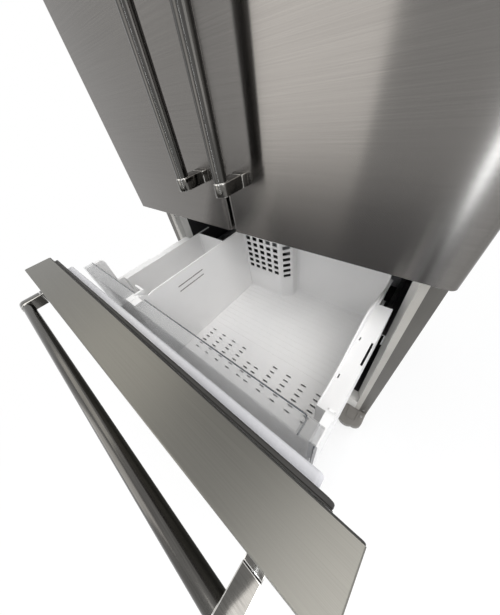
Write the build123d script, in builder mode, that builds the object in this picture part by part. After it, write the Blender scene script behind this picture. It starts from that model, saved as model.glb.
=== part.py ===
from build123d import *
from math import atan2, cos, degrees, radians, sin
import os

# A free-standing refrigerator with two upper doors and a freezer drawer below.
# The drawer stands pulled out, and the two doors are shut.
# +Z is up, +X is to the right for someone facing the doors, +Y points to the back.
# The origin is on the floor, under the middle of the whole outline.

os.makedirs("parts", exist_ok=True)

# ---------------------------------------------------------------- driving dimensions (mm)

WIDTH = 910.0          # cabinet and doors
BODY_DEPTH = 705.0     # front face of the doors to the back of the cabinet
PULL = 400.0           # how far the freezer drawer stands out
HANDLE_REACH = 70.0    # nose of a handle bracket, in front of its door
DOOR_DEPTH = 70.0      # thickness of a door or of the drawer's front
SEAL = 8.0             # thickness of a door seal
SEAL_GAP = 9.0         # back of a door to the front plane of the cabinet
DOOR_FOOT = 778.0      # height of the doors' lower edge
DOOR_TOP = 1744.0
CASE_FOOT = 52.0
CASE_TOP = 1748.0
COVER_TOP = 1778.0     # top of the hinge covers
DOOR_GAP = 10.0        # between the two doors
SHEET = 1.5            # steel sheet
WALL = 2.5             # moulded plastic walls
FIT = 0.05             # radial clearance of a pin in its bore

HALF = WIDTH / 2
FACE = (HANDLE_REACH + PULL - BODY_DEPTH) / 2  # y of the doors' front face


def deep(distance):
    """y of a place, from its distance behind the doors' front face."""
    return FACE + distance


def low(drop):
    """z of a place, from its drop below the doors' lower edge."""
    return DOOR_FOOT - drop


CAB = deep(DOOR_DEPTH + SEAL_GAP)   # front plane of the cabinet
BACK = deep(BODY_DEPTH)
DRAWER_FACE = FACE - PULL
DRAWER_BACK = DRAWER_FACE + DOOR_DEPTH

# front plane of the cabinet
FLANGE = 27.0            # painted steel border
FRAME_HALF = HALF - FLANGE
FRIDGE_HALF = 411.0      # opening of the upper compartment
FRIDGE_FLOOR = 806.0
FRIDGE_CEILING = 1704.0
FRIDGE_BACK = deep(640)
MOUTH_HALF = 410.5       # opening of the freezer, at the front
MOUTH_TOP = low(47)
FREEZER_FLOOR = low(675)
FREEZER_HALF = 398.0     # inside the freezer
FREEZER_CEILING = low(57)
FREEZER_BACK = deep(640)
MOUTH_STRAIGHT = deep(101)
MOUTH_END = deep(125)
RAIL_LOW = low(20)       # steel rail between the two compartments
RAIL_HIGH = DOOR_FOOT + 10
HUMP_FRONT = deep(485)   # step in the freezer for the machine compartment
HUMP_TOP = low(495)
MACHINE_FRONT = deep(515)
MACHINE_TOP = 258.0
BASE_TOP = CASE_FOOT + 3

# freezer drawer
DRAWER_TOP = low(18)
DRAWER_FOOT = 68.0
DRAWER_EDGE_R = 5.0      # rounded upright edges of the drawer's front
DRAWER_LAP = 2.5         # the skin ends this far in front of the inner panel's back
BASKET_HALF = 352.0      # inside the basket
BASKET_FRONT_HALF = 376.0
BASKET_FRONT = deep(-283)
BASKET_STEP = deep(-207)
BASKET_BACK = deep(185)
GRILLE_FACE = deep(126)
BASKET_FLOOR = low(312)
BASKET_RIM = low(150)
BASKET_HIGH = low(88)
CREST_TOP = low(101)     # highest point of the right wall's raised lip
STRIP_HALF = 388.0       # outer edge of the basket's side strips
STRIP_END = deep(83)
RUNNER_Z = (low(227.5), low(225))  # ledges along the basket's sides, just over the slides
SHOULDER = deep(-227)
DIVIDER_X = -95.0
CLEAR_TOP = low(62)

# handles
TUBE_R = 12.7
STANDOFF = 55.0          # handle axis in front of the door
BRACKET_WIDE = 24.0      # bracket, along the handle
BRACKET_NOSE = HANDLE_REACH - STANDOFF
HANDLE_X = 58.0
HANDLE_INSET = 113.0     # bracket's outer side from the end of a door
DRAWER_HANDLE_Z = low(82)
DRAWER_HANDLE_HALF = 400.0

# hinges
PIN_X = 433.0
PIN_Y = deep(30)
PIN_R = 5.0


def slab(x, y, z, mode=Mode.ADD):
    """A block between two corners, given as three (low, high) pairs."""
    middle = Vector(*[(pair[0] + pair[1]) / 2 for pair in (x, y, z)])
    size = [abs(pair[1] - pair[0]) for pair in (x, y, z)]
    with Locations(middle):
        Box(*size, mode=mode)


def turned(x, y, z, radius, length, axis, mode=Mode.ADD):
    """A cylinder centred at a place, along one of the axes."""
    turns = {"X": (0, 90, 0), "Y": (90, 0, 0), "Z": (0, 0, 0)}
    with Locations(Location((x, y, z), turns[axis])):
        Cylinder(radius, length, mode=mode)


def both(side, near, far):
    """The two x of a span on one side of the object, in rising order."""
    return tuple(sorted((side * near, side * far)))


def finish(piece, name):
    piece.part.label = name
    export_step(piece.part, f"parts/{name}.step")


# ---------------------------------------------------------------- cabinet

def cabinet_shell():
    """Painted steel wrapper with its front border and the rail between the compartments."""
    edge_r = 4.0
    back_lip = 14.0
    with BuildPart() as shell:
        slab((-HALF, HALF), (CAB, BACK - SHEET), (CASE_FOOT, CASE_TOP))
        fillet(shell.edges().filter_by(Axis.Y).group_by(Axis.Z)[-1], edge_r)
        inner = HALF - SHEET
        slab((-inner, inner), (CAB + SHEET, BACK), (0, CASE_TOP - SHEET), Mode.SUBTRACT)
        slab((-FRAME_HALF, FRAME_HALF), (CAB - 1, CAB + 5), (0, RAIL_LOW), Mode.SUBTRACT)
        slab((-FRAME_HALF, FRAME_HALF), (CAB - 1, CAB + 5), (RAIL_HIGH, CASE_TOP - FLANGE), Mode.SUBTRACT)
        for side in (-1, 1):
            lip = both(side, inner - back_lip, inner)
            slab(lip, (BACK - 2 * SHEET, BACK - SHEET), (CASE_FOOT, CASE_TOP - SHEET))
    finish(shell, "cabinet_shell")


def back_panel():
    """Steel sheet behind the insulation, with two pressed beads."""
    bead = 1.0
    with BuildPart() as panel:
        slab((-HALF + 2, HALF - 2), (BACK - SHEET, BACK), (MACHINE_TOP, CASE_TOP - 2))
        for side in (-1, 1):
            slab(both(side, 180, 210), (BACK - SHEET - bead, BACK - SHEET), (320, CASE_TOP - 90))
        for side in (-1, 1):
            slab(both(side, 183, 207), (BACK - bead, BACK + 1), (323, CASE_TOP - 93), Mode.SUBTRACT)
    finish(panel, "back_panel")


def cabinet_foam():
    """Rigid insulation that fills the space between the wrapper and the two liners."""
    skin = HALF - SHEET
    deep_back = BACK - 2 * SHEET - 1
    with BuildPart() as foam:
        slab((-skin, skin), (CAB + WALL, deep_back), (BASE_TOP, CASE_TOP - SHEET))
        slab((-HALF, HALF), (MACHINE_FRONT, BACK), (0, MACHINE_TOP), Mode.SUBTRACT)
        wide = FRIDGE_HALF + WALL
        tall = (FRIDGE_FLOOR - WALL, FRIDGE_CEILING + WALL)
        slab((-wide, wide), (CAB, FRIDGE_BACK + WALL), tall, Mode.SUBTRACT)
        wide = FREEZER_HALF + WALL
        tall = (FREEZER_FLOOR - WALL, FREEZER_CEILING + WALL)
        slab((-wide, wide), (CAB, HUMP_FRONT + WALL), tall, Mode.SUBTRACT)
        tall = (HUMP_TOP - WALL, FREEZER_CEILING + WALL)
        slab((-wide, wide), (HUMP_FRONT, FREEZER_BACK + WALL), tall, Mode.SUBTRACT)
        wide = MOUTH_HALF + WALL
        tall = (FREEZER_FLOOR - WALL, MOUTH_TOP + WALL)
        slab((-wide, wide), (CAB, MOUTH_END), tall, Mode.SUBTRACT)
    finish(foam, "cabinet_foam")


def fridge_liner():
    """White inner shell of the upper compartment, with ledges that carry the shelves."""
    ledge = 12.0
    with BuildPart() as liner:
        wide = FRIDGE_HALF + WALL
        start = CAB + 14
        slab((-wide, wide), (start, FRIDGE_BACK + WALL), (FRIDGE_FLOOR - WALL, FRIDGE_CEILING + WALL))
        tall = (FRIDGE_FLOOR, FRIDGE_CEILING)
        slab((-FRIDGE_HALF, FRIDGE_HALF), (CAB, FRIDGE_BACK), tall, Mode.SUBTRACT)
        for side in (-1, 1):
            for height in SHELF_HEIGHTS + [CRISPER_COVER_Z]:
                across = both(side, FRIDGE_HALF - ledge, FRIDGE_HALF)
                slab(across, (deep(220), deep(600)), (height - 10, height - 4))
        mouth = liner.edges().filter_by(Axis.Y).filter_by_position(Axis.X, -FRIDGE_HALF, FRIDGE_HALF)
        inside = [e for e in mouth if abs(abs(e.center().X) - FRIDGE_HALF) < 0.01
                  and min(abs(e.center().Z - FRIDGE_FLOOR), abs(e.center().Z - FRIDGE_CEILING)) < 0.01]
        fillet(inside, 2.0)
    finish(liner, "fridge_liner")


def freezer_liner():
    """White inner shell of the freezer, stepped over the machine compartment."""
    with BuildPart() as liner:
        wide = FREEZER_HALF + WALL
        top = FREEZER_CEILING + WALL
        slab((-wide, wide), (MOUTH_END, HUMP_FRONT + WALL), (FREEZER_FLOOR - WALL, top))
        slab((-wide, wide), (HUMP_FRONT, FREEZER_BACK + WALL), (HUMP_TOP - WALL, top))
        inside = (-FREEZER_HALF, FREEZER_HALF)
        slab(inside, (CAB, HUMP_FRONT), (FREEZER_FLOOR, FREEZER_CEILING), Mode.SUBTRACT)
        slab(inside, (HUMP_FRONT - 1, FREEZER_BACK), (HUMP_TOP, FREEZER_CEILING), Mode.SUBTRACT)
    finish(liner, "freezer_liner")


def fridge_front_frame():
    """Plastic border around the upper opening, with the guide that turns the flip bar."""
    depth = 14.0
    with BuildPart() as frame:
        outer = (-FRAME_HALF, FRAME_HALF)
        slab(outer, (CAB, CAB + WALL), (RAIL_HIGH, CASE_TOP - FLANGE))
        wide = FRIDGE_HALF + WALL
        slab((-wide, wide), (CAB, CAB + depth), (FRIDGE_FLOOR - WALL, FRIDGE_CEILING + WALL))
        tall = (FRIDGE_FLOOR, FRIDGE_CEILING)
        slab((-FRIDGE_HALF, FRIDGE_HALF), (CAB - 1, CAB + depth + 1), tall, Mode.SUBTRACT)
        slab((-30, 14), (CAB + 2, CAB + 40), (FRIDGE_CEILING - 8, FRIDGE_CEILING))
    finish(frame, "fridge_front_frame")


def freezer_front_frame():
    """Plastic border around the freezer opening; its mouth narrows to the liner behind it."""
    lip = 3.0
    with BuildPart() as frame:
        slab((-FRAME_HALF, FRAME_HALF), (CAB, CAB + WALL), (BASE_TOP, RAIL_LOW))
        wide = MOUTH_HALF + WALL
        slab((-wide, wide), (CAB, MOUTH_END), (FREEZER_FLOOR - WALL, MOUTH_TOP + WALL))
        tall = (FREEZER_FLOOR, MOUTH_TOP)
        slab((-MOUTH_HALF, MOUTH_HALF), (CAB - 1, MOUTH_STRAIGHT), tall, Mode.SUBTRACT)
        front = Plane(origin=(0, MOUTH_STRAIGHT, 0), x_dir=(1, 0, 0), z_dir=(0, 1, 0))
        for plane, half, top in (
            (front, MOUTH_HALF, MOUTH_TOP),
            (front.offset(MOUTH_END - MOUTH_STRAIGHT), FREEZER_HALF, FREEZER_CEILING),
        ):
            with BuildSketch(plane):
                with Locations((0, -(FREEZER_FLOOR + top) / 2)):
                    Rectangle(2 * half, top - FREEZER_FLOOR)
        loft(mode=Mode.SUBTRACT)
        rim = [e for e in frame.edges().filter_by(Axis.Z)
               if abs(abs(e.center().X) - MOUTH_HALF) < 0.01 and abs(e.center().Y - CAB) < 0.01]
        fillet(rim, lip)
    finish(frame, "freezer_front_frame")


def base_frame():
    """Steel floor of the cabinet, with its front member and the forks of the rear wheels."""
    skin = HALF - SHEET
    with BuildPart() as base:
        slab((-skin, skin), (CAB + WALL, BACK - 4), (CASE_FOOT, BASE_TOP))
        slab((-372, 372), (CAB + WALL, CAB + WALL + 3), (30, CASE_FOOT))
        for side in (-1, 1):
            slab(both(side, skin - 3, skin), (CAB + 40, BACK - 4), (34, CASE_FOOT))
            for cheek in (WHEEL_X - WHEEL_WIDE / 2 - 3.5, WHEEL_X + WHEEL_WIDE / 2 + 0.5):
                slab(both(side, cheek, cheek + 3), (WHEEL_Y - 16, WHEEL_Y + 16), (16, CASE_FOOT))
            turned(side * WHEEL_X, WHEEL_Y, WHEEL_R, AXLE_R, WHEEL_WIDE + 10, "X")
    finish(base, "base_frame")


def foot_covers():
    """Moulded covers round the two front feet, each with a two-lobed nose and a snap groove."""
    low_z, high_z = 28.0, 50.0
    groove = 1.8
    with BuildPart() as covers:
        for side in (-1, 1):
            with BuildSketch(Plane.XY.offset(low_z)):
                with BuildLine():
                    inner = (side * 376, deep(12))
                    valley = (side * 426, deep(11))
                    outer = (side * 455, deep(36))
                    ThreePointArc(inner, (side * 402, deep(1)), valley)
                    ThreePointArc(valley, (side * 447.4, deep(18.3)), outer)
                    Polyline(outer, (side * 455, deep(110)), (side * 376, deep(110)), inner)
                make_face()
            extrude(amount=high_z - low_z)
            with BuildSketch(Plane.XY.offset(high_z - groove)):
                with Locations((side * 411, deep(56))):
                    RectangleRounded(38, 50, 9)
                    RectangleRounded(38 - 2 * groove, 50 - 2 * groove, 9 - groove, mode=Mode.SUBTRACT)
                with Locations((side * 411, deep(80))):
                    Rectangle(44, 14, mode=Mode.SUBTRACT)
            extrude(amount=groove + 1, mode=Mode.SUBTRACT)
            turned(side * FOOT_X, FOOT_Y, 28, STEM_R + FIT, 39, "Z", Mode.SUBTRACT)
    finish(covers, "foot_covers")


# ---------------------------------------------------------------- feet and wheels

FOOT_X = 415.0
FOOT_Y = deep(50)
STEM_R = 6.0
PAD_R = 19.0
WHEEL_X = 400.0
WHEEL_Y = deep(640)
WHEEL_R = 26.0
WHEEL_WIDE = 20.0
AXLE_R = 4.0


def levelling_foot(side, name):
    """Screw foot: a round pad with a hexagon, on a stem that turns in the cover."""
    with BuildPart() as foot:
        turned(side * FOOT_X, FOOT_Y, 4, PAD_R, 8, "Z")
        fillet(foot.edges().filter_by(GeomType.CIRCLE).sort_by(Axis.Z)[-1], 2.5)
        with BuildSketch(Plane.XY.offset(8)):
            with Locations((side * FOOT_X, FOOT_Y)):
                RegularPolygon(11, 6)
        extrude(amount=7)
        turned(side * FOOT_X, FOOT_Y, 29, STEM_R, 34, "Z")
    finish(foot, name)


def rear_wheels():
    """Two plastic rollers on one line, each with a grooved tread."""
    with BuildPart() as wheels:
        for side in (-1, 1):
            turned(side * WHEEL_X, WHEEL_Y, WHEEL_R, WHEEL_R, WHEEL_WIDE, "X")
        chamfer(wheels.edges().filter_by(GeomType.CIRCLE), 1.2)
        for side in (-1, 1):
            turned(side * WHEEL_X, WHEEL_Y, WHEEL_R, AXLE_R + FIT, WHEEL_WIDE + 2, "X", Mode.SUBTRACT)
            for end in (-1, 1):
                x = side * WHEEL_X + end * WHEEL_WIDE / 2
                with BuildSketch(Plane(origin=(x, WHEEL_Y, WHEEL_R), z_dir=(1, 0, 0))):
                    Circle(WHEEL_R - 6)
                    Circle(AXLE_R + 5, mode=Mode.SUBTRACT)
                extrude(amount=3, both=True, mode=Mode.SUBTRACT)
    finish(wheels, "rear_wheels")


# ---------------------------------------------------------------- hinges of the upper doors

def top_hinges():
    """Plates screwed to the cabinet's top, each with a pin down into its door."""
    plate = 4.0
    with BuildPart() as hinges:
        for side in (-1, 1):
            with BuildSketch(Plane.XY.offset(CASE_TOP)):
                with BuildLine():
                    Polyline(
                        (side * 417, PIN_Y), (side * 417, CAB + 5), (side * 376, CAB + 20),
                        (side * 376, CAB + 95), (side * 449, CAB + 95), (side * 449, PIN_Y),
                    )
                    ThreePointArc((side * 449, PIN_Y), (side * PIN_X, PIN_Y - 16), (side * 417, PIN_Y))
                make_face()
                with Locations((side * 412, CAB + 40), (side * 412, CAB + 78)):
                    Circle(3.2, mode=Mode.SUBTRACT)
            extrude(amount=plate)
            turned(side * PIN_X, PIN_Y, CASE_TOP - 11, PIN_R, 22, "Z")
    finish(hinges, "top_hinges")


def hinge_covers():
    """Plastic lids over the top hinges, hollow underneath."""
    wall = 2.0
    with BuildPart() as covers:
        for side in (-1, 1):
            across = both(side, 368, 452)
            slab(across, (deep(8), CAB + 112), (CASE_TOP + 0.2, COVER_TOP))
        fillet(covers.edges().filter_by(Axis.Z), 12)
        fillet(covers.faces().group_by(Axis.Z)[-1].edges(), 7)
        for side in (-1, 1):
            across = both(side, 368 + wall, 452 - wall)
            slab(across, (deep(8) + wall, CAB + 112 - wall), (CASE_TOP - 1, COVER_TOP - 9), Mode.SUBTRACT)
    finish(covers, "hinge_covers")


def centre_hinges():
    """Brackets on the middle rail that carry the doors; each pin points up into its door."""
    plate = 4.0
    under = low(10)
    with BuildPart() as hinges:
        for side in (-1, 1):
            across = both(side, 416, 452)
            slab(across, (PIN_Y, CAB), (under, under + plate))
            turned(side * PIN_X, PIN_Y, under + plate / 2, 17, plate, "Z")
            slab(both(side, 432, 452), (CAB - 3, CAB), (under - 16, under + plate))
            turned(side * PIN_X, PIN_Y, DOOR_FOOT - 3.2, 9, 5.8, "Z")
            turned(side * PIN_X, PIN_Y, DOOR_FOOT + 8, PIN_R, 28, "Z")
    finish(hinges, "centre_hinges")


# ---------------------------------------------------------------- upper doors

DOOR_IN = DOOR_GAP / 2
EDGE_R = 11.0           # rounded upright edges of a door
CAP = 8.0               # plastic end caps of a door
LINER_Y = deep(DOOR_DEPTH - 4)
DYKE_IN, DYKE_OUT = 45.0, 408.0
DYKE_WIDE = 20.0
DYKE_DEEP = 26.0
DYKE_LOW, DYKE_HIGH = 812.0, 1698.0
SEAL_WIDE = 15.0
BOSS_R = 9.5
BIN_HEIGHTS = [(852.0, 130.0), (1150.0, 105.0), (1440.0, 105.0)]
BIN_IN, BIN_OUT = 68.0, 385.0
BIN_DEEP = 175.0


def door_outline(side, shrink):
    """Plan of a door, with rounded front edges, drawn in the sketch that is open."""
    width = HALF - DOOR_IN - 2 * shrink
    depth = DOOR_DEPTH - 4 - shrink
    with Locations((side * (HALF + DOOR_IN) / 2, FACE + shrink + depth / 2)):
        return Rectangle(width, depth)


def door_skin(side, name):
    """Brushed stainless sheet folded round the front and the two upright edges."""
    with BuildPart() as skin:
        with BuildSketch(Plane.XY.offset(DOOR_FOOT)) as plan:
            door_outline(side, 0)
            fillet(plan.vertices().group_by(Axis.Y)[0], EDGE_R)
        extrude(amount=DOOR_TOP - DOOR_FOOT)
        with BuildSketch(Plane.XY.offset(DOOR_FOOT)) as hollow:
            door_outline(side, SHEET)
            fillet(hollow.vertices().group_by(Axis.Y)[0], EDGE_R - SHEET)
        extrude(amount=DOOR_TOP - DOOR_FOOT, mode=Mode.SUBTRACT)
    finish(skin, name)


def door_caps(side, name):
    """Plastic ends of a door, with the bushes that turn on the hinge pins."""
    with BuildPart() as caps:
        for start in (DOOR_FOOT, DOOR_TOP - CAP):
            with BuildSketch(Plane.XY.offset(start)) as plan:
                door_outline(side, SHEET)
                fillet(plan.vertices().group_by(Axis.Y)[0], EDGE_R - SHEET)
            extrude(amount=CAP)
        for start, height in ((DOOR_FOOT + CAP, 18), (DOOR_TOP - CAP - 18, 18)):
            turned(side * PIN_X, PIN_Y, start + height / 2, BOSS_R, height, "Z")
        for end in (DOOR_FOOT, DOOR_TOP):
            turned(side * PIN_X, PIN_Y, end, PIN_R + FIT, 2 * 24, "Z", Mode.SUBTRACT)
    finish(caps, name)


def door_foam(side, name):
    """Insulation inside a door."""
    gap = 0.2
    with BuildPart() as foam:
        with BuildSketch(Plane.XY.offset(DOOR_FOOT + CAP)) as plan:
            door_outline(side, SHEET + gap)
            fillet(plan.vertices().group_by(Axis.Y)[0], EDGE_R - SHEET)
        extrude(amount=DOOR_TOP - DOOR_FOOT - 2 * CAP)
        for end in (DOOR_FOOT + CAP, DOOR_TOP - CAP):
            turned(side * PIN_X, PIN_Y, end, BOSS_R + gap, 2 * (18 + gap), "Z", Mode.SUBTRACT)
    finish(foam, name)


def door_liner(side, name):
    """White inner panel of a door, with the raised ring that carries the bins."""
    with BuildPart() as liner:
        across = both(side, DOOR_IN + 1, HALF - 1)
        slab(across, (LINER_Y, deep(DOOR_DEPTH)), (DOOR_FOOT + 1, DOOR_TOP - 1))
        edge = liner.edges().filter_by(Axis.Y)
        fillet(edge, 4)
        ring = (deep(DOOR_DEPTH), deep(DOOR_DEPTH + DYKE_DEEP))
        slab(both(side, DYKE_IN, DYKE_OUT), ring, (DYKE_LOW, DYKE_HIGH))
        outer = [e for e in liner.edges().filter_by(Axis.Y) if e.center().Y > deep(DOOR_DEPTH) + 1]
        fillet(outer, 10)
        inside = both(side, DYKE_IN + DYKE_WIDE, DYKE_OUT - DYKE_WIDE)
        tall = (DYKE_LOW + DYKE_WIDE, DYKE_HIGH - DYKE_WIDE)
        slab(inside, (ring[0], ring[1] + 1), tall, Mode.SUBTRACT)
        rims = [e for e in liner.faces().sort_by(Axis.Y)[-1].edges()]
        fillet(rims, 3)
        if side < 0:
            bar_arms()
    finish(liner, name)


def bar_arms():
    """Two arms moulded on the left inner panel, with the pins that the flip bar turns on."""
    past_seal = deep(DOOR_DEPTH + SEAL + 0.6)
    for end, start, pin in ((BAR_LOW, BAR_LOW - 6.5, 5), (BAR_HIGH, BAR_HIGH + 0.5, -5)):
        tall = (start, start + 6)
        slab((BAR_X - 32, BAR_X - 11), (deep(DOOR_DEPTH) - 1, BAR_Y + 6), tall)
        slab((BAR_X - 32, BAR_X + 6), (past_seal, BAR_Y + 6), tall)
        turned(BAR_X, BAR_Y, end + pin, BAR_PIN_R, 14, "Z")


def ring_seal(x, z, y, name):
    """A magnetic seal: a flat ring with two raised ribs that meet the cabinet."""
    base = SEAL * 0.6
    with BuildPart() as seal:
        with BuildSketch(Plane(origin=(0, y, 0), x_dir=(1, 0, 0), z_dir=(0, 1, 0))):
            with Locations(((x[0] + x[1]) / 2, -(z[0] + z[1]) / 2)):
                RectangleRounded(x[1] - x[0], z[1] - z[0], 10)
                inner = (x[1] - x[0] - 2 * SEAL_WIDE, z[1] - z[0] - 2 * SEAL_WIDE)
                Rectangle(*inner, mode=Mode.SUBTRACT)
        extrude(amount=base)
        for inset in (0.6, SEAL_WIDE - 6.2):
            with BuildSketch(Plane(origin=(0, y + base, 0), x_dir=(1, 0, 0), z_dir=(0, 1, 0))):
                with Locations(((x[0] + x[1]) / 2, -(z[0] + z[1]) / 2)):
                    size = (x[1] - x[0] - 2 * inset, z[1] - z[0] - 2 * inset)
                    RectangleRounded(*size, max(10 - inset, 2))
                    RectangleRounded(size[0] - 11, size[1] - 11, 4, mode=Mode.SUBTRACT)
            extrude(amount=SEAL - base)
    finish(seal, name)


def door_seal(side, name):
    x = both(side, DOOR_IN + 6, FRAME_HALF - 1)
    ring_seal(x, (RAIL_HIGH + 1, FRIDGE_CEILING + 16), deep(DOOR_DEPTH), name)


def door_handle(side, name):
    """Stainless tube between the two brackets."""
    low_z = DOOR_FOOT + HANDLE_INSET + BRACKET_WIDE
    high_z = DOOR_TOP - HANDLE_INSET - BRACKET_WIDE
    with BuildPart() as tube:
        middle = (low_z + high_z) / 2
        turned(side * HANDLE_X, FACE - STANDOFF, middle, TUBE_R, high_z - low_z, "Z")
        turned(side * HANDLE_X, FACE - STANDOFF, middle, TUBE_R - 1.5, high_z - low_z, "Z", Mode.SUBTRACT)
    finish(tube, name)


def bracket_outline():
    """Side view of a handle bracket: a post that ends in a half-round nose.

    It is drawn with the door's face at x = 0, and the nose towards -x.
    """
    root = BRACKET_NOSE + 3
    with BuildSketch() as view:
        with BuildLine():
            Polyline((-STANDOFF, BRACKET_NOSE), (-14, BRACKET_NOSE), (0, root), (0, -root),
                     (-14, -BRACKET_NOSE), (-STANDOFF, -BRACKET_NOSE))
            ThreePointArc((-STANDOFF, -BRACKET_NOSE), (-HANDLE_REACH, 0), (-STANDOFF, BRACKET_NOSE))
        make_face()
    return view.sketch


def door_handle_brackets(side, name):
    outline = bracket_outline()
    with BuildPart() as brackets:
        for start in (DOOR_FOOT + HANDLE_INSET, DOOR_TOP - HANDLE_INSET - BRACKET_WIDE):
            root = (side * HANDLE_X, FACE, start)
            with BuildSketch(Plane(origin=root, x_dir=(0, 1, 0), z_dir=(0, 0, 1))):
                add(outline)
            extrude(amount=BRACKET_WIDE)
        flats = brackets.faces().filter_by(Axis.Z)
        chamfer(flats.edges().filter_by(Plane.XY), 1.0)
    finish(brackets, name)


def door_bins(side, name):
    """Three open bins that hang on the inner panel of a door."""
    wall = 3.0
    front, rear = deep(DOOR_DEPTH + 0.2), deep(BIN_DEEP)
    middle = (side * (BIN_IN + BIN_OUT) / 2, (front + rear) / 2)
    with BuildPart() as bins:
        for floor, height in BIN_HEIGHTS:
            for inset, start, mode in ((0, floor, Mode.ADD), (wall, floor + wall, Mode.SUBTRACT)):
                with BuildSketch(Plane.XY.offset(start)) as plan:
                    with Locations(middle):
                        Rectangle(BIN_OUT - BIN_IN - 2 * inset, rear - front - 2 * inset)
                    fillet(plan.vertices().group_by(Axis.Y)[-1], 14 - inset)
                extrude(amount=height, mode=mode)
    finish(bins, name)


# ---------------------------------------------------------------- flip bar between the doors

BAR_X = -20.0
BAR_Y = CAB + 9
BAR_LOW, BAR_HIGH = FRIDGE_FLOOR + 14, FRIDGE_CEILING - 24
BAR_PIN_R = 3.0


def flip_bar():
    """Bar on the left door that turns across the gap between the doors."""
    with BuildPart() as bar:
        slab((BAR_X - 8, BAR_X + 8), (BAR_Y - 8, BAR_Y + 42), (BAR_LOW, BAR_HIGH))
        fillet(bar.edges().filter_by(Axis.Z), 5)
        for end in (BAR_LOW, BAR_HIGH):
            turned(BAR_X, BAR_Y, end, BAR_PIN_R + FIT, 40, "Z", Mode.SUBTRACT)
    finish(bar, "flip_bar")


# ---------------------------------------------------------------- inside the upper compartment

SHELF_HEIGHTS = [1210.0, 1450.0]
CRISPER_COVER_Z = 1012.0
SHELF_FRONT, SHELF_BACK = deep(220), deep(600)
GLASS = 4.0


def shelf_glass():
    """Glass panes: two split shelves on two levels, and one pane over the crispers."""
    inset = 8.0
    with BuildPart() as glass:
        for height in SHELF_HEIGHTS:
            for side in (-1, 1):
                across = both(side, 4 + inset, FRIDGE_HALF - 6 - inset)
                slab(across, (SHELF_FRONT + inset, SHELF_BACK - inset), (height, height + GLASS))
        wide = FRIDGE_HALF - 6 - inset
        tall = (CRISPER_COVER_Z, CRISPER_COVER_Z + GLASS)
        slab((-wide, wide), (SHELF_FRONT + inset, SHELF_BACK - inset), tall)
    finish(glass, "shelf_glass")


def shelf_frames():
    """Plastic borders that hold the panes and rest on the liner's ledges."""
    border = 14.0
    below = 4.0
    with BuildPart() as frames:
        spans = [(both(side, 4, FRIDGE_HALF - 6), height) for height in SHELF_HEIGHTS for side in (-1, 1)]
        spans.append(((-FRIDGE_HALF + 6, FRIDGE_HALF - 6), CRISPER_COVER_Z))
        for across, height in spans:
            slab(across, (SHELF_FRONT, SHELF_BACK), (height - below, height + GLASS + 2))
            hole = (across[0] + border, across[1] - border)
            along = (SHELF_FRONT + border, SHELF_BACK - border)
            slab(hole, along, (height - 10, height + 10), Mode.SUBTRACT)
            seat = (across[0] + 8, across[1] - 8)
            slab(seat, (SHELF_FRONT + 8, SHELF_BACK - 8), (height, height + 10), Mode.SUBTRACT)
        post = (SHELF_FRONT + 6, SHELF_BACK - 6)
        tall = (FRIDGE_FLOOR, CRISPER_COVER_Z - below)
        for wall in ((-4, 4), (383, 386), (-386, -383)):
            slab(wall, post, tall)
    finish(frames, "shelf_frames")


CRISPER_FRONT = deep(202)
CRISPER_LOW, CRISPER_HIGH = FRIDGE_FLOOR + 4, CRISPER_COVER_Z - 7
CRISPER_FAR = 380.0      # clear of the inner corner of a door opened to 115 degrees


def crisper(side, name):
    """Clear vegetable drawer with a finger grip along its front."""
    wall = 3.0
    front, rear = CRISPER_FRONT + 14, deep(560)
    near, far = 7, CRISPER_FAR
    middle = (side * (near + far) / 2, (front + rear) / 2)
    with BuildPart() as drawer:
        for inset, mode in ((0, Mode.ADD), (wall, Mode.SUBTRACT)):
            with BuildSketch(Plane.XY.offset(CRISPER_LOW + inset)):
                with Locations(middle):
                    RectangleRounded(far - near - 2 * inset, rear - front - 2 * inset, 12 - inset)
            extrude(amount=CRISPER_HIGH - CRISPER_LOW, mode=mode)
        grip = both(side, 30, CRISPER_FAR - 23)
        slab(grip, (CRISPER_FRONT, front + 1), (CRISPER_HIGH - 26, CRISPER_HIGH - 22))
        slab(grip, (CRISPER_FRONT, CRISPER_FRONT + 3), (CRISPER_HIGH - 44, CRISPER_HIGH - 22))
    finish(drawer, name)


def air_duct():
    """Plastic duct on the rear wall, with a row of outlets at each shelf."""
    with BuildPart() as duct:
        slab((-150, 150), (deep(612), FRIDGE_BACK), (1040, 1690))
        fillet(duct.edges().filter_by(Axis.Z).group_by(Axis.Y)[0], 12)
        slab((-140, 140), (deep(618), FRIDGE_BACK + 1), (1050, 1680), Mode.SUBTRACT)
        with BuildSketch(Plane.XZ.offset(-deep(600))):
            for height in (1150, 1330, 1560):
                with Locations((0, height)):
                    with GridLocations(34, 12, 6, 2):
                        RectangleRounded(26, 6, 2.5)
        extrude(amount=-30, mode=Mode.SUBTRACT)
    finish(duct, "air_duct")


def control_panel():
    """Ceiling housing of the lamp and the touch control."""
    with BuildPart() as panel:
        slab((-170, 170), (deep(200), deep(430)), (FRIDGE_CEILING - 26, FRIDGE_CEILING))
        fillet(panel.edges().filter_by(Axis.Z), 16)
        fillet(panel.faces().sort_by(Axis.Z)[0].edges(), 6)
        lens = (FRIDGE_CEILING - 27, FRIDGE_CEILING - 24)
        slab((-120, 120), (deep(290), deep(400)), lens, Mode.SUBTRACT)
    finish(panel, "control_panel")


# ---------------------------------------------------------------- cooling

COVER_Y = deep(592)
FAN_Z = low(135)
FAN_R = 56.0
SHAFT_R = 4.0


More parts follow.
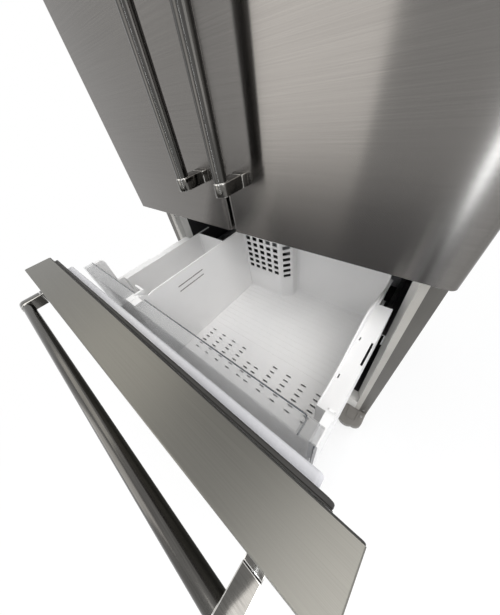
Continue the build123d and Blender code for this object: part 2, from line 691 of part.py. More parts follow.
def evaporator_cover():
    """Panel at the back of the freezer, with air slots, and the fan motor behind it."""
    with BuildPart() as cover:
        slab((-396, 396), (COVER_Y, COVER_Y + 3), (HUMP_TOP + 1, FREEZER_CEILING - 1))
        with BuildSketch(Plane.XZ.offset(-(COVER_Y - 2))):
            with Locations((0, FAN_Z)):
                with GridLocations(16, 50, 12, 2):
                    RectangleRounded(7, 38, 3)
        extrude(amount=-10, mode=Mode.SUBTRACT)
        slab((-18, 18), (COVER_Y + 3, COVER_Y + 9), (FAN_Z - 62, FREEZER_CEILING - 4))
        turned(0, COVER_Y + 9, FAN_Z, 17, 12, "Y")
        turned(0, COVER_Y + 26, FAN_Z, SHAFT_R, 30, "Y")
    finish(cover, "evaporator_cover")


def fan(centre, axis, blades, radius, depth, name):
    """A propeller fan: a hub with a bore for the shaft, and tilted blades."""
    hub = radius * 0.3
    root, tip = hub * 0.8, radius * 0.92
    pitch = radians(30)
    plane = Plane(origin=centre, z_dir=axis)
    with BuildPart() as rotor:
        with BuildSketch(plane.offset(-depth / 2)):
            Circle(hub)
        extrude(amount=depth)
        for step in range(blades):
            turn = radians(360 / blades * step)
            outward = plane.x_dir * cos(turn) + plane.y_dir * sin(turn)
            across = plane.z_dir.cross(outward)
            normal = plane.z_dir * cos(pitch) + across * sin(pitch)
            with BuildSketch(Plane(origin=centre, x_dir=outward, z_dir=normal).offset(-0.8)):
                with BuildLine():
                    Polyline((tip, -root), (radius * 0.6, -hub * 0.7), (root, -root / 2),
                             (root, root / 2), (tip, root))
                    ThreePointArc((tip, root), (radius * 0.98, 0), (tip, -root))
                make_face()
            extrude(amount=1.6)
        with BuildSketch(plane.offset(-depth)):
            Circle(SHAFT_R + FIT)
        extrude(amount=2 * depth, mode=Mode.SUBTRACT)
    finish(rotor, name)


def evaporator():
    """Finned coil: pipes that run across, with a pack of thin fins."""
    with BuildPart() as coil:
        fins = 30
        span = 560.0
        for index in range(fins + 1):
            x = -span / 2 + index * span / fins
            slab((x - 0.6, x + 0.6), (COVER_Y + 10, FREEZER_BACK - 4), (HUMP_TOP + 12, low(225)))
        for row in range(8):
            z = HUMP_TOP + 30 + row * 30
            turned(0, deep(610), z, 4, span + 20, "X")
            turned(0, deep(626), z, 4, span + 20, "X")
    finish(coil, "evaporator")


COMPRESSOR_X = 280.0
COMPRESSOR_Y = deep(612)


def compressor():
    """Welded shell on a foot plate, with its terminal box."""
    radius = 76.0
    foot = BASE_TOP + 12
    with BuildPart() as pump:
        turned(COMPRESSOR_X, COMPRESSOR_Y, foot + 84, radius, 168, "Z")
        fillet(pump.edges().filter_by(GeomType.CIRCLE).sort_by(Axis.Z)[-1], 46)
        fillet(pump.edges().filter_by(GeomType.CIRCLE).sort_by(Axis.Z)[0], 20)
        turned(COMPRESSOR_X, COMPRESSOR_Y, foot + 84, radius + 3, 8, "Z")
        plate = (COMPRESSOR_X - 110, COMPRESSOR_X + 110)
        slab(plate, (COMPRESSOR_Y - 60, COMPRESSOR_Y + 60), (foot - 3, foot + 1))
        terminals = (COMPRESSOR_X - 100, COMPRESSOR_X - 66)
        slab(terminals, (COMPRESSOR_Y - 28, COMPRESSOR_Y + 28), (foot + 40, foot + 92))
        for sx in (-1, 1):
            for sy in (-1, 1):
                turned(COMPRESSOR_X + sx * 95, COMPRESSOR_Y + sy * 45, BASE_TOP + 4.5, 11, 9, "Z")
    finish(pump, "compressor")


COIL_X = (-330.0, -130.0)
COOL_FAN_X = -92.0
COOL_FAN_Z = 152.0


def condenser():
    """Finned coil with its pipes, and the bracket that holds the fan motor."""
    y = (deep(545), deep(675))
    with BuildPart() as coil:
        plates = 20
        for index in range(plates + 1):
            x = COIL_X[0] + index * (COIL_X[1] - COIL_X[0]) / plates
            slab((x - 0.6, x + 0.6), y, (78, 228))
        for row in range(5):
            for column in range(4):
                place = (y[0] + 20 + column * 30, 95 + row * 29)
                turned(sum(COIL_X) / 2, place[0], place[1], 4, COIL_X[1] - COIL_X[0] + 16, "X")
        slab((-58, -54), (deep(560), deep(664)), (BASE_TOP, 160))
        turned(-66, deep(612), COOL_FAN_Z, 22, 24, "X")
        turned(-88, deep(612), COOL_FAN_Z, SHAFT_R, 40, "X")
    finish(coil, "condenser")


def drain_pan():
    """Shallow tray under the condenser that catches the defrost water."""
    with BuildPart() as pan:
        slab((-340, -120), (deep(535), deep(685)), (BASE_TOP, 74))
        fillet(pan.edges().filter_by(Axis.Z), 12)
        slab((-338, -122), (deep(537), deep(683)), (BASE_TOP + 2, 80), Mode.SUBTRACT)
    finish(pan, "drain_pan")


INLET_X = -400.0
INLET_Z = 190.0


def machine_cover():
    """Perforated steel sheet over the machine compartment."""
    with BuildPart() as cover:
        slab((-HALF + 2, HALF - 2), (BACK - SHEET, BACK), (BASE_TOP, MACHINE_TOP - 0.5))
        with BuildSketch(Plane.XZ.offset(-(BACK + 2))):
            for centre in (-215, 215):
                with Locations((centre, 160)):
                    with GridLocations(22, 22, 12, 6):
                        RectangleRounded(14, 8, 3.5)
            with Locations((INLET_X, INLET_Z)):
                Rectangle(32, 26)
        extrude(amount=6, both=True, mode=Mode.SUBTRACT)
    finish(cover, "machine_cover")


def power_inlet():
    """Three-pin appliance inlet set in the rear cover."""
    with BuildPart() as inlet:
        tall = (INLET_Z - 12.8, INLET_Z + 12.8)
        slab((INLET_X - 15.8, INLET_X + 15.8), (BACK - 28, BACK - SHEET), tall)
        tall = (INLET_Z - 8.5, INLET_Z + 8.5)
        slab((INLET_X - 12, INLET_X + 12), (BACK - 20, BACK), tall, Mode.SUBTRACT)
        for offset, drop in ((-7, 0), (0, 3), (7, 0)):
            x = INLET_X + offset
            slab((x - 1, x + 1), (BACK - 20.5, BACK - 5), (INLET_Z - 2 + drop, INLET_Z + 2 + drop))
    finish(inlet, "power_inlet")


# ---------------------------------------------------------------- slides of the freezer drawer

SLIDE_Z = (low(272), low(238))
SLIDE_RUN = (deep(130), deep(560))


def cabinet_slides():
    """Outer members of the telescopic slides, on brackets from the freezer's side walls."""
    with BuildPart() as slides:
        for side in (-1, 1):
            slab(both(side, 394, FREEZER_HALF), SLIDE_RUN, (low(345), low(300)))
            slab(both(side, 374, FREEZER_HALF), SLIDE_RUN, (low(303), low(300)))
            slab(both(side, 375, 378), SLIDE_RUN, (low(302), low(232)))
            for z in (SLIDE_Z[0] - 2.5, SLIDE_Z[1] + 0.5):
                slab(both(side, 369, 376), SLIDE_RUN, (z, z + 2))
    finish(slides, "cabinet_slides")


def mid_rails():
    """Middle members of the slides; they travel half as far as the drawer."""
    run = (SLIDE_RUN[0] - PULL / 2, SLIDE_RUN[1] - PULL / 2)
    with BuildPart() as rails:
        for side in (-1, 1):
            slab(both(side, 368, 374), run, SLIDE_Z)
            slab(both(side, 367, 371.5), run, (SLIDE_Z[0] + 4, SLIDE_Z[1] - 4), Mode.SUBTRACT)
    finish(rails, "mid_rails")


def drawer_frame():
    """Steel side plates that carry the basket's ledges and the slides' inner members."""
    rear = deep(180)
    low_z = low(345)
    high_z = RUNNER_Z[0] - 0.2
    with BuildPart() as frame:
        for side in (-1, 1):
            plate = both(side, 357.5, 360)
            slab(plate, (DRAWER_BACK, rear), (low_z, high_z))
            slab(both(side, 359.5, 366), (BASKET_STEP, deep(160)), (SLIDE_Z[0] + 5, SLIDE_Z[1] - 5))
            slab(both(side, 346.5, 358), (DRAWER_BACK, deep(90)), (low(337), low(334.5)))
            slab(both(side, 357.5, 382), (DRAWER_BACK, DRAWER_BACK + 3), (low_z, low(170)))
        slab((-357.3, 357.3), (deep(86), deep(96)), (low_z, low(320)))
    finish(frame, "drawer_frame")


# ---------------------------------------------------------------- front of the freezer drawer

def drawer_skin():
    """Brushed stainless box that faces the drawer; its top and bottom are folded back."""
    with BuildPart() as skin:
        depth = DOOR_DEPTH - DRAWER_LAP
        slab((-HALF, HALF), (DRAWER_FACE, DRAWER_FACE + depth), (DRAWER_FOOT, DRAWER_TOP))
        upright = skin.edges().filter_by(Axis.Z).group_by(Axis.Y)[0]
        fillet(upright, DRAWER_EDGE_R)
        fillet(skin.edges().filter_by(Axis.X).group_by(Axis.Y)[0], 2.0)
        inner = HALF - SHEET
        tall = (DRAWER_FOOT + SHEET, DRAWER_TOP - SHEET)
        with BuildSketch(Plane.XY.offset(tall[0])) as hollow:
            with Locations((0, DRAWER_FACE + SHEET + depth / 2)):
                Rectangle(2 * inner, depth)
            fillet(hollow.vertices().group_by(Axis.Y)[0], DRAWER_EDGE_R - SHEET)
        extrude(amount=tall[1] - tall[0], mode=Mode.SUBTRACT)
    finish(skin, "drawer_skin")


def drawer_foam():
    """Insulation inside the drawer's front."""
    gap = SHEET + 0.2
    with BuildPart() as foam:
        x = HALF - gap
        y = (DRAWER_FACE + gap, DRAWER_BACK - DRAWER_LAP)
        slab((-x, x), y, (DRAWER_FOOT + gap, DRAWER_TOP - gap))
        fillet(foam.edges().filter_by(Axis.Z).group_by(Axis.Y)[0], DRAWER_EDGE_R)
    finish(foam, "drawer_foam")


def drawer_liner():
    """White inner panel of the drawer's front, with its raised ring."""
    with BuildPart() as liner:
        sheet = (DRAWER_BACK - DRAWER_LAP + 0.2, DRAWER_BACK)
        slab((-HALF + 1, HALF - 1), sheet, (DRAWER_FOOT + 1, DRAWER_TOP - 4))
        fillet(liner.edges().filter_by(Axis.Y), 3)
        ring = (DRAWER_BACK, DRAWER_BACK + DYKE_DEEP)
        tall = (low(672), low(50))
        slab((-408, 408), ring, tall)
        outer = [e for e in liner.edges().filter_by(Axis.Y) if e.center().Y > DRAWER_BACK + 1]
        fillet(outer, 7)
        inside = (-408 + 24, 408 - 24)
        slab(inside, (ring[0], ring[1] + 1), (tall[0] + 24, tall[1] - 24), Mode.SUBTRACT)
        fillet(liner.faces().sort_by(Axis.Y)[-1].edges(), 4)
    finish(liner, "drawer_liner")


def drawer_seal():
    half = MOUTH_HALF + SEAL_WIDE
    tall = (FREEZER_FLOOR - SEAL_WIDE, DRAWER_TOP - 1)
    ring_seal((-half, half), tall, DRAWER_BACK, "drawer_seal")


def drawer_handle():
    """Stainless tube across the drawer's front."""
    reach = DRAWER_HANDLE_HALF - BRACKET_WIDE
    with BuildPart() as tube:
        turned(0, DRAWER_FACE - STANDOFF, DRAWER_HANDLE_Z, TUBE_R, 2 * reach, "X")
        turned(0, DRAWER_FACE - STANDOFF, DRAWER_HANDLE_Z, TUBE_R - 1.5, 2 * reach, "X", Mode.SUBTRACT)
    finish(tube, "drawer_handle")


def drawer_handle_brackets():
    outline = bracket_outline()
    with BuildPart() as brackets:
        for start in (-DRAWER_HANDLE_HALF, DRAWER_HANDLE_HALF - BRACKET_WIDE):
            root = (start, DRAWER_FACE, DRAWER_HANDLE_Z)
            with BuildSketch(Plane(origin=root, x_dir=(0, 1, 0), z_dir=(1, 0, 0))):
                add(outline)
            extrude(amount=BRACKET_WIDE)
        chamfer(brackets.faces().filter_by(Axis.X).edges(), 1.0)
    finish(brackets, "drawer_handle_brackets")


# ---------------------------------------------------------------- basket of the freezer drawer

SLOT_MIDDLE = 135.0     # middle column pair of the floor's slots
SLOT_ROWS = [deep(-125.5 - 15.9 * row) for row in range(6)]
SLOT_SIZE = (15.0, 4.0)
RIB_PITCH = 18.5
RIBS = 12
POST_TOP = CLEAR_TOP - 3
GRILLE_COLUMNS, GRILLE_ROWS = 5, 6
GRILLE_PITCH = (26.7, 21.4)
GRILLE_HOLE = (17.6, 13.6)
GRILLE_MIDDLE = (-22.0, low(155.5))


def basket_plan(grow):
    """Plan of the basket's inside, grown by a wall.

    The left part of the rear wall stands further forward than the right part,
    and a face at 45 degrees joins the two.
    """
    half = BASKET_HALF + grow
    slant = grow * 0.414
    with BuildSketch() as plan:
        with BuildLine():
            Polyline(
                (-half, BASKET_FRONT), (half, BASKET_FRONT),
                (half, BASKET_BACK + grow), (78 - grow, BASKET_BACK + grow),
                (78 - grow, GRILLE_FACE + 30 + slant), (48 - slant, GRILLE_FACE + grow),
                (-half, GRILLE_FACE + grow), (-half, BASKET_FRONT),
            )
        make_face()
    return plan.sketch


def basket_hollow():
    """The space inside the basket; its front part is wider above the slides."""
    plan = basket_plan(0)
    with BuildPart() as space:
        with BuildSketch(Plane.XY.offset(BASKET_FLOOR)):
            add(plan)
        extrude(amount=BASKET_HIGH - BASKET_FLOOR + 5)
        rear = [e for e in space.edges().filter_by(Axis.Z) if e.center().Y > BASKET_STEP + 10]
        fillet(rear, 9)
        floor = [e for e in space.faces().sort_by(Axis.Z)[0].edges() if e.center().Y > BASKET_FRONT + 1]
        fillet(floor, 6)
        wide = (-BASKET_FRONT_HALF, BASKET_FRONT_HALF)
        slab(wide, (BASKET_FRONT, BASKET_STEP), (RUNNER_Z[1], BASKET_HIGH + 5))
    return space.part


def side_crest():
    """Raised lip along the right wall of the basket, seen from the side: it rises and falls again."""
    with BuildPart() as lip:
        with BuildSketch(Plane(origin=(BASKET_HALF, 0, 0), x_dir=(0, 1, 0), z_dir=(1, 0, 0))):
            with BuildLine():
                Spline((deep(-150), BASKET_RIM), (deep(-107), BASKET_RIM + 9),
                       (deep(-60), BASKET_RIM + 30), (deep(0), CREST_TOP),
                       (deep(43), BASKET_RIM + 37), (deep(92), BASKET_RIM + 20), (deep(150), BASKET_RIM))
                Polyline((deep(150), BASKET_RIM), (deep(150), BASKET_RIM - WALL),
                         (deep(-150), BASKET_RIM - WALL), (deep(-150), BASKET_RIM))
            make_face()
        extrude(amount=WALL)
    return lip.part


def basket_side(side, end):
    """Rim of one side: its strip, skirt and front post, and the ledge over the slide."""
    outer = BASKET_HALF + WALL
    sheet = (BASKET_RIM - WALL, BASKET_RIM)
    slab(both(side, outer - 1, outer + 6.5), (BASKET_FRONT, end), RUNNER_Z)
    slab(both(side, outer - 1, STRIP_HALF), (BASKET_STEP, STRIP_END), sheet)
    slab(both(side, STRIP_HALF - WALL, STRIP_HALF), (BASKET_FRONT, STRIP_END), (low(290), BASKET_RIM))
    slab(both(side, outer - 1, outer + 4), (STRIP_END, BASKET_BACK), sheet)
    post = both(side, BASKET_FRONT_HALF, STRIP_HALF)
    slab(post, (BASKET_FRONT, SHOULDER), (BASKET_RIM - 1, POST_TOP))
    slab(post, (BASKET_FRONT, BASKET_STEP + WALL), sheet)
    notch = both(side, STRIP_HALF - 6, STRIP_HALF + 1)
    slab(notch, (deep(-92), deep(-29)), (low(172), low(149)), Mode.SUBTRACT)
    for place in (deep(-135), deep(-33)):
        slot = both(side, 358.5, 361)
        slab(slot, (place - 5, place + 5), (BASKET_RIM - 5, BASKET_RIM + 1), Mode.SUBTRACT)
    hollow = both(side, BASKET_FRONT_HALF + WALL, STRIP_HALF - WALL)
    along = (BASKET_FRONT + WALL, SHOULDER - WALL)
    slab(hollow, along, (BASKET_RIM - 9, POST_TOP - WALL), Mode.SUBTRACT)


def floor_ribs():
    """Low ribs across the basket's floor; the last three run only beside the grille's corner."""
    start = deep(112)
    wide = BASKET_HALF - 6
    for index in range(-3, RIBS):
        y = start - index * RIB_PITCH
        left = -wide if index >= 0 else 85
        slab((left, wide), (y - 1.6, y + 1.6), (BASKET_FLOOR, BASKET_FLOOR + 0.9))


def basket():
    """White moulded basket with a ribbed floor, drain slots and an air grille at the rear."""
    plan = basket_plan(WALL)
    hollow_space = basket_hollow()
    crest = side_crest()
    with BuildPart() as tub:
        with BuildSketch(Plane.XY.offset(BASKET_FLOOR - WALL)):
            add(plan)
        extrude(amount=BASKET_HIGH - BASKET_FLOOR + WALL)
        wide = (-BASKET_FRONT_HALF - WALL, BASKET_FRONT_HALF + WALL)
        slab(wide, (BASKET_FRONT, BASKET_STEP + WALL), (RUNNER_Z[0], BASKET_HIGH))
        add(hollow_space, mode=Mode.SUBTRACT)
        above = (BASKET_RIM, BASKET_HIGH + 1)
        for side in (-1, 1):
            slab(both(side, BASKET_HALF - 0.5, HALF), (SHOULDER, BACK), above, Mode.SUBTRACT)
        slab((-HALF, DIVIDER_X - 2), (deep(100), BACK), above, Mode.SUBTRACT)
        add(crest)
        basket_side(-1, GRILLE_FACE)
        basket_side(1, BASKET_BACK)
        corners = [e for e in tub.edges().filter_by(Axis.X)
                   if abs(e.center().Y - SHOULDER) < 0.01 and abs(e.center().Z - POST_TOP) < 0.01]
        fillet(corners, 14)
        floor_ribs()
        with BuildSketch(Plane.XY.offset(BASKET_FLOOR - 2 * WALL)):
            for column in range(5):
                rows = SLOT_ROWS if column else SLOT_ROWS[2:]
                for side in (-1, 1):
                    x = SLOT_MIDDLE + side * (13.8 + 44.7 * column)
                    with Locations([(x, y) for y in rows]):
                        SlotOverall(*SLOT_SIZE)
        extrude(amount=4 * WALL, mode=Mode.SUBTRACT)
        with BuildSketch(Plane.XZ.offset(-(GRILLE_FACE - 5))):
            with Locations(GRILLE_MIDDLE):
                with GridLocations(*GRILLE_PITCH, GRILLE_COLUMNS, GRILLE_ROWS):
                    RectangleRounded(*GRILLE_HOLE, 2)
        extrude(amount=-12, mode=Mode.SUBTRACT)
        corner = (63.5, GRILLE_FACE + 15.5, GRILLE_MIDDLE[1])
        slanted = Plane(origin=corner, x_dir=(1, 1, 0), z_dir=(1, -1, 0))
        with BuildSketch(slanted.offset(-6)):
            with Locations((0, -GRILLE_PITCH[1] / 2)):
                with GridLocations(10, GRILLE_PITCH[1], 1, GRILLE_ROWS):
                    RectangleRounded(24, 12, 2)
        extrude(amount=12, mode=Mode.SUBTRACT)
    finish(tub, "basket")


def clear_front():
    """Smoked clear wall at the front of the basket, with a flange folded back along its top."""
    thick = 3.0
    edge = deep(-257.5)
    y0 = BASKET_FRONT - thick
    x = (-STRIP_HALF - 1, 385.5)
    with BuildPart() as pane:
        slab(x, (y0, BASKET_FRONT), (RUNNER_Z[0] + 0.5, CLEAR_TOP))
        slab((-355.5, 355.5), (y0, BASKET_FRONT), (BASKET_FLOOR - WALL, CLEAR_TOP))
        slab(x, (y0, edge), (CLEAR_TOP - thick, CLEAR_TOP))
        slab((357, 360), (BASKET_FRONT - 1, edge), (CLEAR_TOP - 24, CLEAR_TOP))
        fillet(pane.edges().filter_by(Axis.X).group_by(Axis.Y)[0].sort_by(Axis.Z)[-1], 2.5)
        notch = (DIVIDER_X - 22, DIVIDER_X + 24)
        slab(notch, (BASKET_FRONT, edge + 1), (CLEAR_TOP - 10, CLEAR_TOP + 1), Mode.SUBTRACT)
    finish(pane, "clear_front")


def divider():
    """Upright plate between the two compartments, with the hook that holds its front end."""
    thick = 3.5
    top = low(72)
    front, rear = BASKET_FRONT + 0.5, GRILLE_FACE - 0.5
    x0 = DIVIDER_X - thick / 2
    with BuildPart() as plate:
        with BuildSketch(Plane(origin=(x0, 0, 0), x_dir=(0, 1, 0), z_dir=(1, 0, 0))) as view:
            with BuildLine():
                Polyline((front, BASKET_FLOOR + 8), (front, CLEAR_TOP - 6), (front + 30, CLEAR_TOP - 2),
                         (front + 44, top - 3), (front + 60, top), (rear, top), (rear, BASKET_FLOOR + 8),
                         (rear - 8, BASKET_FLOOR + 1.2), (front + 8, BASKET_FLOOR + 1.2), close=True)
            make_face()
            fillet(view.vertices().sort_by(Axis.Y)[-2:].sort_by(Axis.X)[:1], 2)
            with Locations((deep(-113), low(109)), (deep(-114), low(125))):
                SlotOverall(92, 1.8, mode=Mode.SUBTRACT)
        extrude(amount=thick)
        start = BASKET_FRONT + 0.3
        slab((DIVIDER_X - 21, DIVIDER_X + 23), (start, deep(-262)), (CLEAR_TOP - 3, CLEAR_TOP))
        slot = (DIVIDER_X - 1, DIVIDER_X + 1)
        slab(slot, (start, deep(-266)), (CLEAR_TOP - 3.5, CLEAR_TOP + 1), Mode.SUBTRACT)
        slab((DIVIDER_X - 14, DIVIDER_X - 9), (deep(-266), deep(-240)), (CLEAR_TOP - 9, CLEAR_TOP + 2))
        slab((DIVIDER_X - 46, DIVIDER_X - 9), (deep(-243), deep(-238)), (CLEAR_TOP - 9, CLEAR_TOP + 2))
        slab((DIVIDER_X - 14, DIVIDER_X + 1), (deep(-262), deep(-257)), (CLEAR_TOP - 9, CLEAR_TOP - 1))
    finish(plate, "divider")


def lower_bin():
    """Deep bin under the basket, hung by its rim on the drawer's frame.

    Its floor and walls are five flat panels a hair apart, so that each stays a
    plain solid in collision and the space inside stays free.
    """
    x, y = 344.0, (deep(-296), deep(78))
    floor, top = low(660), low(331)
    hair = 0.1
    inside_x = (-x + WALL + hair, x - WALL - hair)
    inside_y = (y[0] + WALL + hair, y[1] - WALL - hair)
    with BuildPart() as bin_part:
        for side in (-1, 1):
            slab(both(side, x - WALL, x), y, (floor, top))
            slab(both(side, x - 1, x + 12), (y[0] + 24, y[1] - 24), (top - 3, top))
        corners = [e for e in bin_part.edges().filter_by(Axis.Z)
                   if abs(abs(e.center().X) - x) < 0.01 and e.length > top - floor - 1]
        fillet(corners, 2)
        slab(inside_x, (y[0], y[0] + WALL), (floor, top))
        slab(inside_x, (y[1] - WALL, y[1]), (floor, top))
        slab(inside_x, inside_y, (floor, floor + WALL))
    finish(bin_part, "lower_bin")


# ---------------------------------------------------------------- build everything

cabinet_shell()
back_panel()
cabinet_foam()
fridge_liner()
freezer_liner()
fridge_front_frame()
freezer_front_frame()
base_frame()
foot_covers()
levelling_foot(-1, "left_foot")
levelling_foot(1, "right_foot")
rear_wheels()
top_hinges()
hinge_covers()
centre_hinges()
for side, word in ((-1, "left"), (1, "right")):
    door_skin(side, f"{word}_door_skin")
    door_caps(side, f"{word}_door_caps")
    door_foam(side, f"{word}_door_foam")
    door_liner(side, f"{word}_door_liner")
    door_seal(side, f"{word}_door_seal")
    door_handle(side, f"{word}_door_handle")
    door_handle_brackets(side, f"{word}_door_brackets")
    door_bins(side, f"{word}_door_bins")
    crisper(side, f"{word}_crisper")
flip_bar()
shelf_glass()
shelf_frames()
air_duct()
control_panel()
evaporator_cover()
fan((0, COVER_Y + 29, FAN_Z), (0, 1, 0), 5, FAN_R, 18, "evaporator_fan")
evaporator()
compressor()
condenser()
fan((COOL_FAN_X, deep(612), COOL_FAN_Z), (1, 0, 0), 5, 76.0, 22, "condenser_fan")
drain_pan()
machine_cover()
power_inlet()
cabinet_slides()
mid_rails()
drawer_frame()
drawer_skin()
drawer_foam()
drawer_liner()
drawer_seal()
drawer_handle()
drawer_handle_brackets()
basket()
clear_front()
divider()
lower_bin()
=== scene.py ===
# %% [markdown]
# This lesson dresses a french-door refrigerator whose freezer drawer stands pulled out.
# The solids come from a finished CAD model. They are loaded first and never moved, and every
# later cell either gives them a finish or adds a piece that the solids are too plain for.

# %% Load the frame
import math

import bmesh
import bpy
from mathutils import Matrix, Vector


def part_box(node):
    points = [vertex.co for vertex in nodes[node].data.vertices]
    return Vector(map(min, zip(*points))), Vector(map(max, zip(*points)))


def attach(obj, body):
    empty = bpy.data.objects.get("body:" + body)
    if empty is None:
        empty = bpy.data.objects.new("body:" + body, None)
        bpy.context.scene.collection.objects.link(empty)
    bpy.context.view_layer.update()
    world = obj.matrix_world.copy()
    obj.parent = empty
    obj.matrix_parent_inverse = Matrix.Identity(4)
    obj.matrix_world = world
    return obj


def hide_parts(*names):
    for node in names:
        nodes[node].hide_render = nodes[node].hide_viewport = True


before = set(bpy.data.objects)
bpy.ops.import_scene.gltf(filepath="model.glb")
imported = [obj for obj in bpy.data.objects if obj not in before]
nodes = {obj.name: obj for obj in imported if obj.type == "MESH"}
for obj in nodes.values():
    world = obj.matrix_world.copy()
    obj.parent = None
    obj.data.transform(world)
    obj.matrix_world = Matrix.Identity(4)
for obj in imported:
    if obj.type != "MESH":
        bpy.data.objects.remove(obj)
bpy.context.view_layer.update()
for node in nodes.values():
    node.data.materials.clear()
for plain in list(bpy.data.materials):
    bpy.data.materials.remove(plain)

# %% [markdown]
# Blender works in metres here. The model's main planes are measured once from the solids,
# so that a piece made later sits on the part that carries it.

# %% Measure the main planes
MM = 0.001
door_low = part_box("right_door_skin")[0]
drawer_low, drawer_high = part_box("drawer_skin")
shell_low, shell_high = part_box("cabinet_shell")
DOOR_FACE = door_low.y
DRAWER_FACE = drawer_low.y
CABINET_FRONT = shell_low.y
CABINET_BACK = shell_high.y


def deep(distance):
    """y of a place, from its distance in millimetres behind the doors' front face."""
    return DOOR_FACE + distance * MM


def low(drop):
    """z of a place, from its drop in millimetres below the doors' lower edge."""
    return door_low.z - drop * MM


print("door face", round(DOOR_FACE, 4), "drawer face", round(DRAWER_FACE, 4))

# %% [markdown]
# The photograph was taken very close, from above the drawer's right end, with a wide lens.
# The camera is placed with the right, up and backward directions as the columns of its matrix,
# which is exact, where turning it by angles until it looks right would never be.

# %% Camera
LENS_MM, SENSOR_MM = 12.947, 36.0
CAMERA_PLACE = (0.40107, -0.47251, 1.04032)
camera_data = bpy.data.cameras.new("photo_camera")
camera_data.lens = LENS_MM
camera_data.sensor_width = SENSOR_MM
camera_data.clip_start = 0.01
camera = bpy.data.objects.new("photo_camera", camera_data)
bpy.context.scene.collection.objects.link(camera)
right = Vector((0.76275, 0.62960, -0.14770))
up = Vector((-0.3813, 0.6223, 0.6836))
back = Vector((0.52233, -0.46512, 0.71473))
turn = Matrix((right, up, back)).transposed()
camera.matrix_world = Matrix.Translation(CAMERA_PLACE) @ turn.to_4x4()
bpy.context.scene.camera = camera
print("camera at", [round(v, 3) for v in camera.location])

# %% [markdown]
# A studio floor that fades into a white surround has no horizon. The floor and the world are
# white to the camera, to mirrors and to clear plastic, while the light that they give to the
# object stays soft. That is what the Light Path node is for.

# %% Helpers for materials


def add_node(tree, kind, **settings):
    """Adds a node; a setting is a property of the node, or else one of its inputs."""
    node = tree.nodes.new(kind)
    for name, value in settings.items():
        if hasattr(node, name):
            setattr(node, name, value)
        else:
            node.inputs[name.replace("_", " ")].default_value = value
    return node


def seen_directly(tree):
    """1 for camera, glossy and transmission rays, and 0 for the light that surfaces receive."""
    path = add_node(tree, "ShaderNodeLightPath")
    first = add_node(tree, "ShaderNodeMath", operation="MAXIMUM")
    second = add_node(tree, "ShaderNodeMath", operation="MAXIMUM")
    tree.links.new(path.outputs["Is Camera Ray"], first.inputs[0])
    tree.links.new(path.outputs["Is Glossy Ray"], first.inputs[1])
    tree.links.new(first.outputs[0], second.inputs[0])
    tree.links.new(path.outputs["Is Transmission Ray"], second.inputs[1])
    return second.outputs[0]


# %% World
AMBIENT, SURROUND = 0.56, 1.0
SKY, WHITE = (0.93, 0.96, 1.0, 1), (1, 1, 1, 1)
world = bpy.data.worlds.new("studio")
bpy.context.scene.world = world
world.use_nodes = True
tree = world.node_tree
tree.nodes.clear()
ambient = add_node(tree, "ShaderNodeBackground", Strength=AMBIENT)
surround = add_node(tree, "ShaderNodeBackground", Strength=SURROUND)
mix = add_node(tree, "ShaderNodeMixShader")
output = add_node(tree, "ShaderNodeOutputWorld")
ambient.inputs["Color"].default_value = SKY
surround.inputs["Color"].default_value = WHITE
tree.links.new(seen_directly(tree), mix.inputs["Fac"])
tree.links.new(ambient.outputs[0], mix.inputs[1])
tree.links.new(surround.outputs[0], mix.inputs[2])
tree.links.new(mix.outputs[0], output.inputs["Surface"])
bpy.context.scene.view_settings.view_transform = "Standard"
print("world ready")

# %% [markdown]
# Near the object the floor is ordinary white paint, so that it keeps the shadow. Further out it
# turns into plain white for whatever sees it directly. The change follows the distance from the
# middle of the floor, in Object coordinates, so it stays in place from any side.

# %% Floor
FLOOR_HALF = 9
FADE_START, FADE_END = 0.5, 1.5
corners = [(x * FLOOR_HALF, y * FLOOR_HALF, 0) for x, y in ((-1, -1), (1, -1), (1, 1), (-1, 1))]
floor_mesh = bpy.data.meshes.new("studio_floor")
floor_mesh.from_pydata(corners, [], [(0, 1, 2, 3)])
floor = bpy.data.objects.new("studio_floor", floor_mesh)
bpy.context.scene.collection.objects.link(floor)
floor_paint = bpy.data.materials.new("floor_paint")
floor_paint.use_nodes = True
tree = floor_paint.node_tree
shader = tree.nodes["Principled BSDF"]
shader.inputs["Roughness"].default_value = 0.9
shader.inputs["Specular IOR Level"].default_value = 0.1
grain = add_node(tree, "ShaderNodeTexNoise", Scale=3.0, Detail=3.0)
shade = add_node(tree, "ShaderNodeMapRange", To_Min=0.95, To_Max=0.98)
tree.links.new(grain.outputs["Fac"], shade.inputs["Value"])
tree.links.new(shade.outputs["Result"], shader.inputs["Base Color"])
place = add_node(tree, "ShaderNodeTexCoord")
distance = add_node(tree, "ShaderNodeVectorMath", operation="LENGTH")
fade = add_node(tree, "ShaderNodeMapRange", From_Min=FADE_START, From_Max=FADE_END,
                To_Min=0.7, To_Max=1.0)
direct = add_node(tree, "ShaderNodeMath", operation="MULTIPLY")
glow = add_node(tree, "ShaderNodeEmission", Strength=1.0)
blend = add_node(tree, "ShaderNodeMixShader")
tree.links.new(place.outputs["Object"], distance.inputs[0])
tree.links.new(distance.outputs["Value"], fade.inputs["Value"])
tree.links.new(fade.outputs["Result"], direct.inputs[0])
tree.links.new(seen_directly(tree), direct.inputs[1])
tree.links.new(direct.outputs[0], blend.inputs["Fac"])
tree.links.new(shader.outputs[0], blend.inputs[1])
tree.links.new(glow.outputs[0], blend.inputs[2])
tree.links.new(blend.outputs[0], tree.nodes["Material Output"].inputs["Surface"])
floor_mesh.materials.append(floor_paint)
print("floor", len(floor_mesh.polygons), "face")

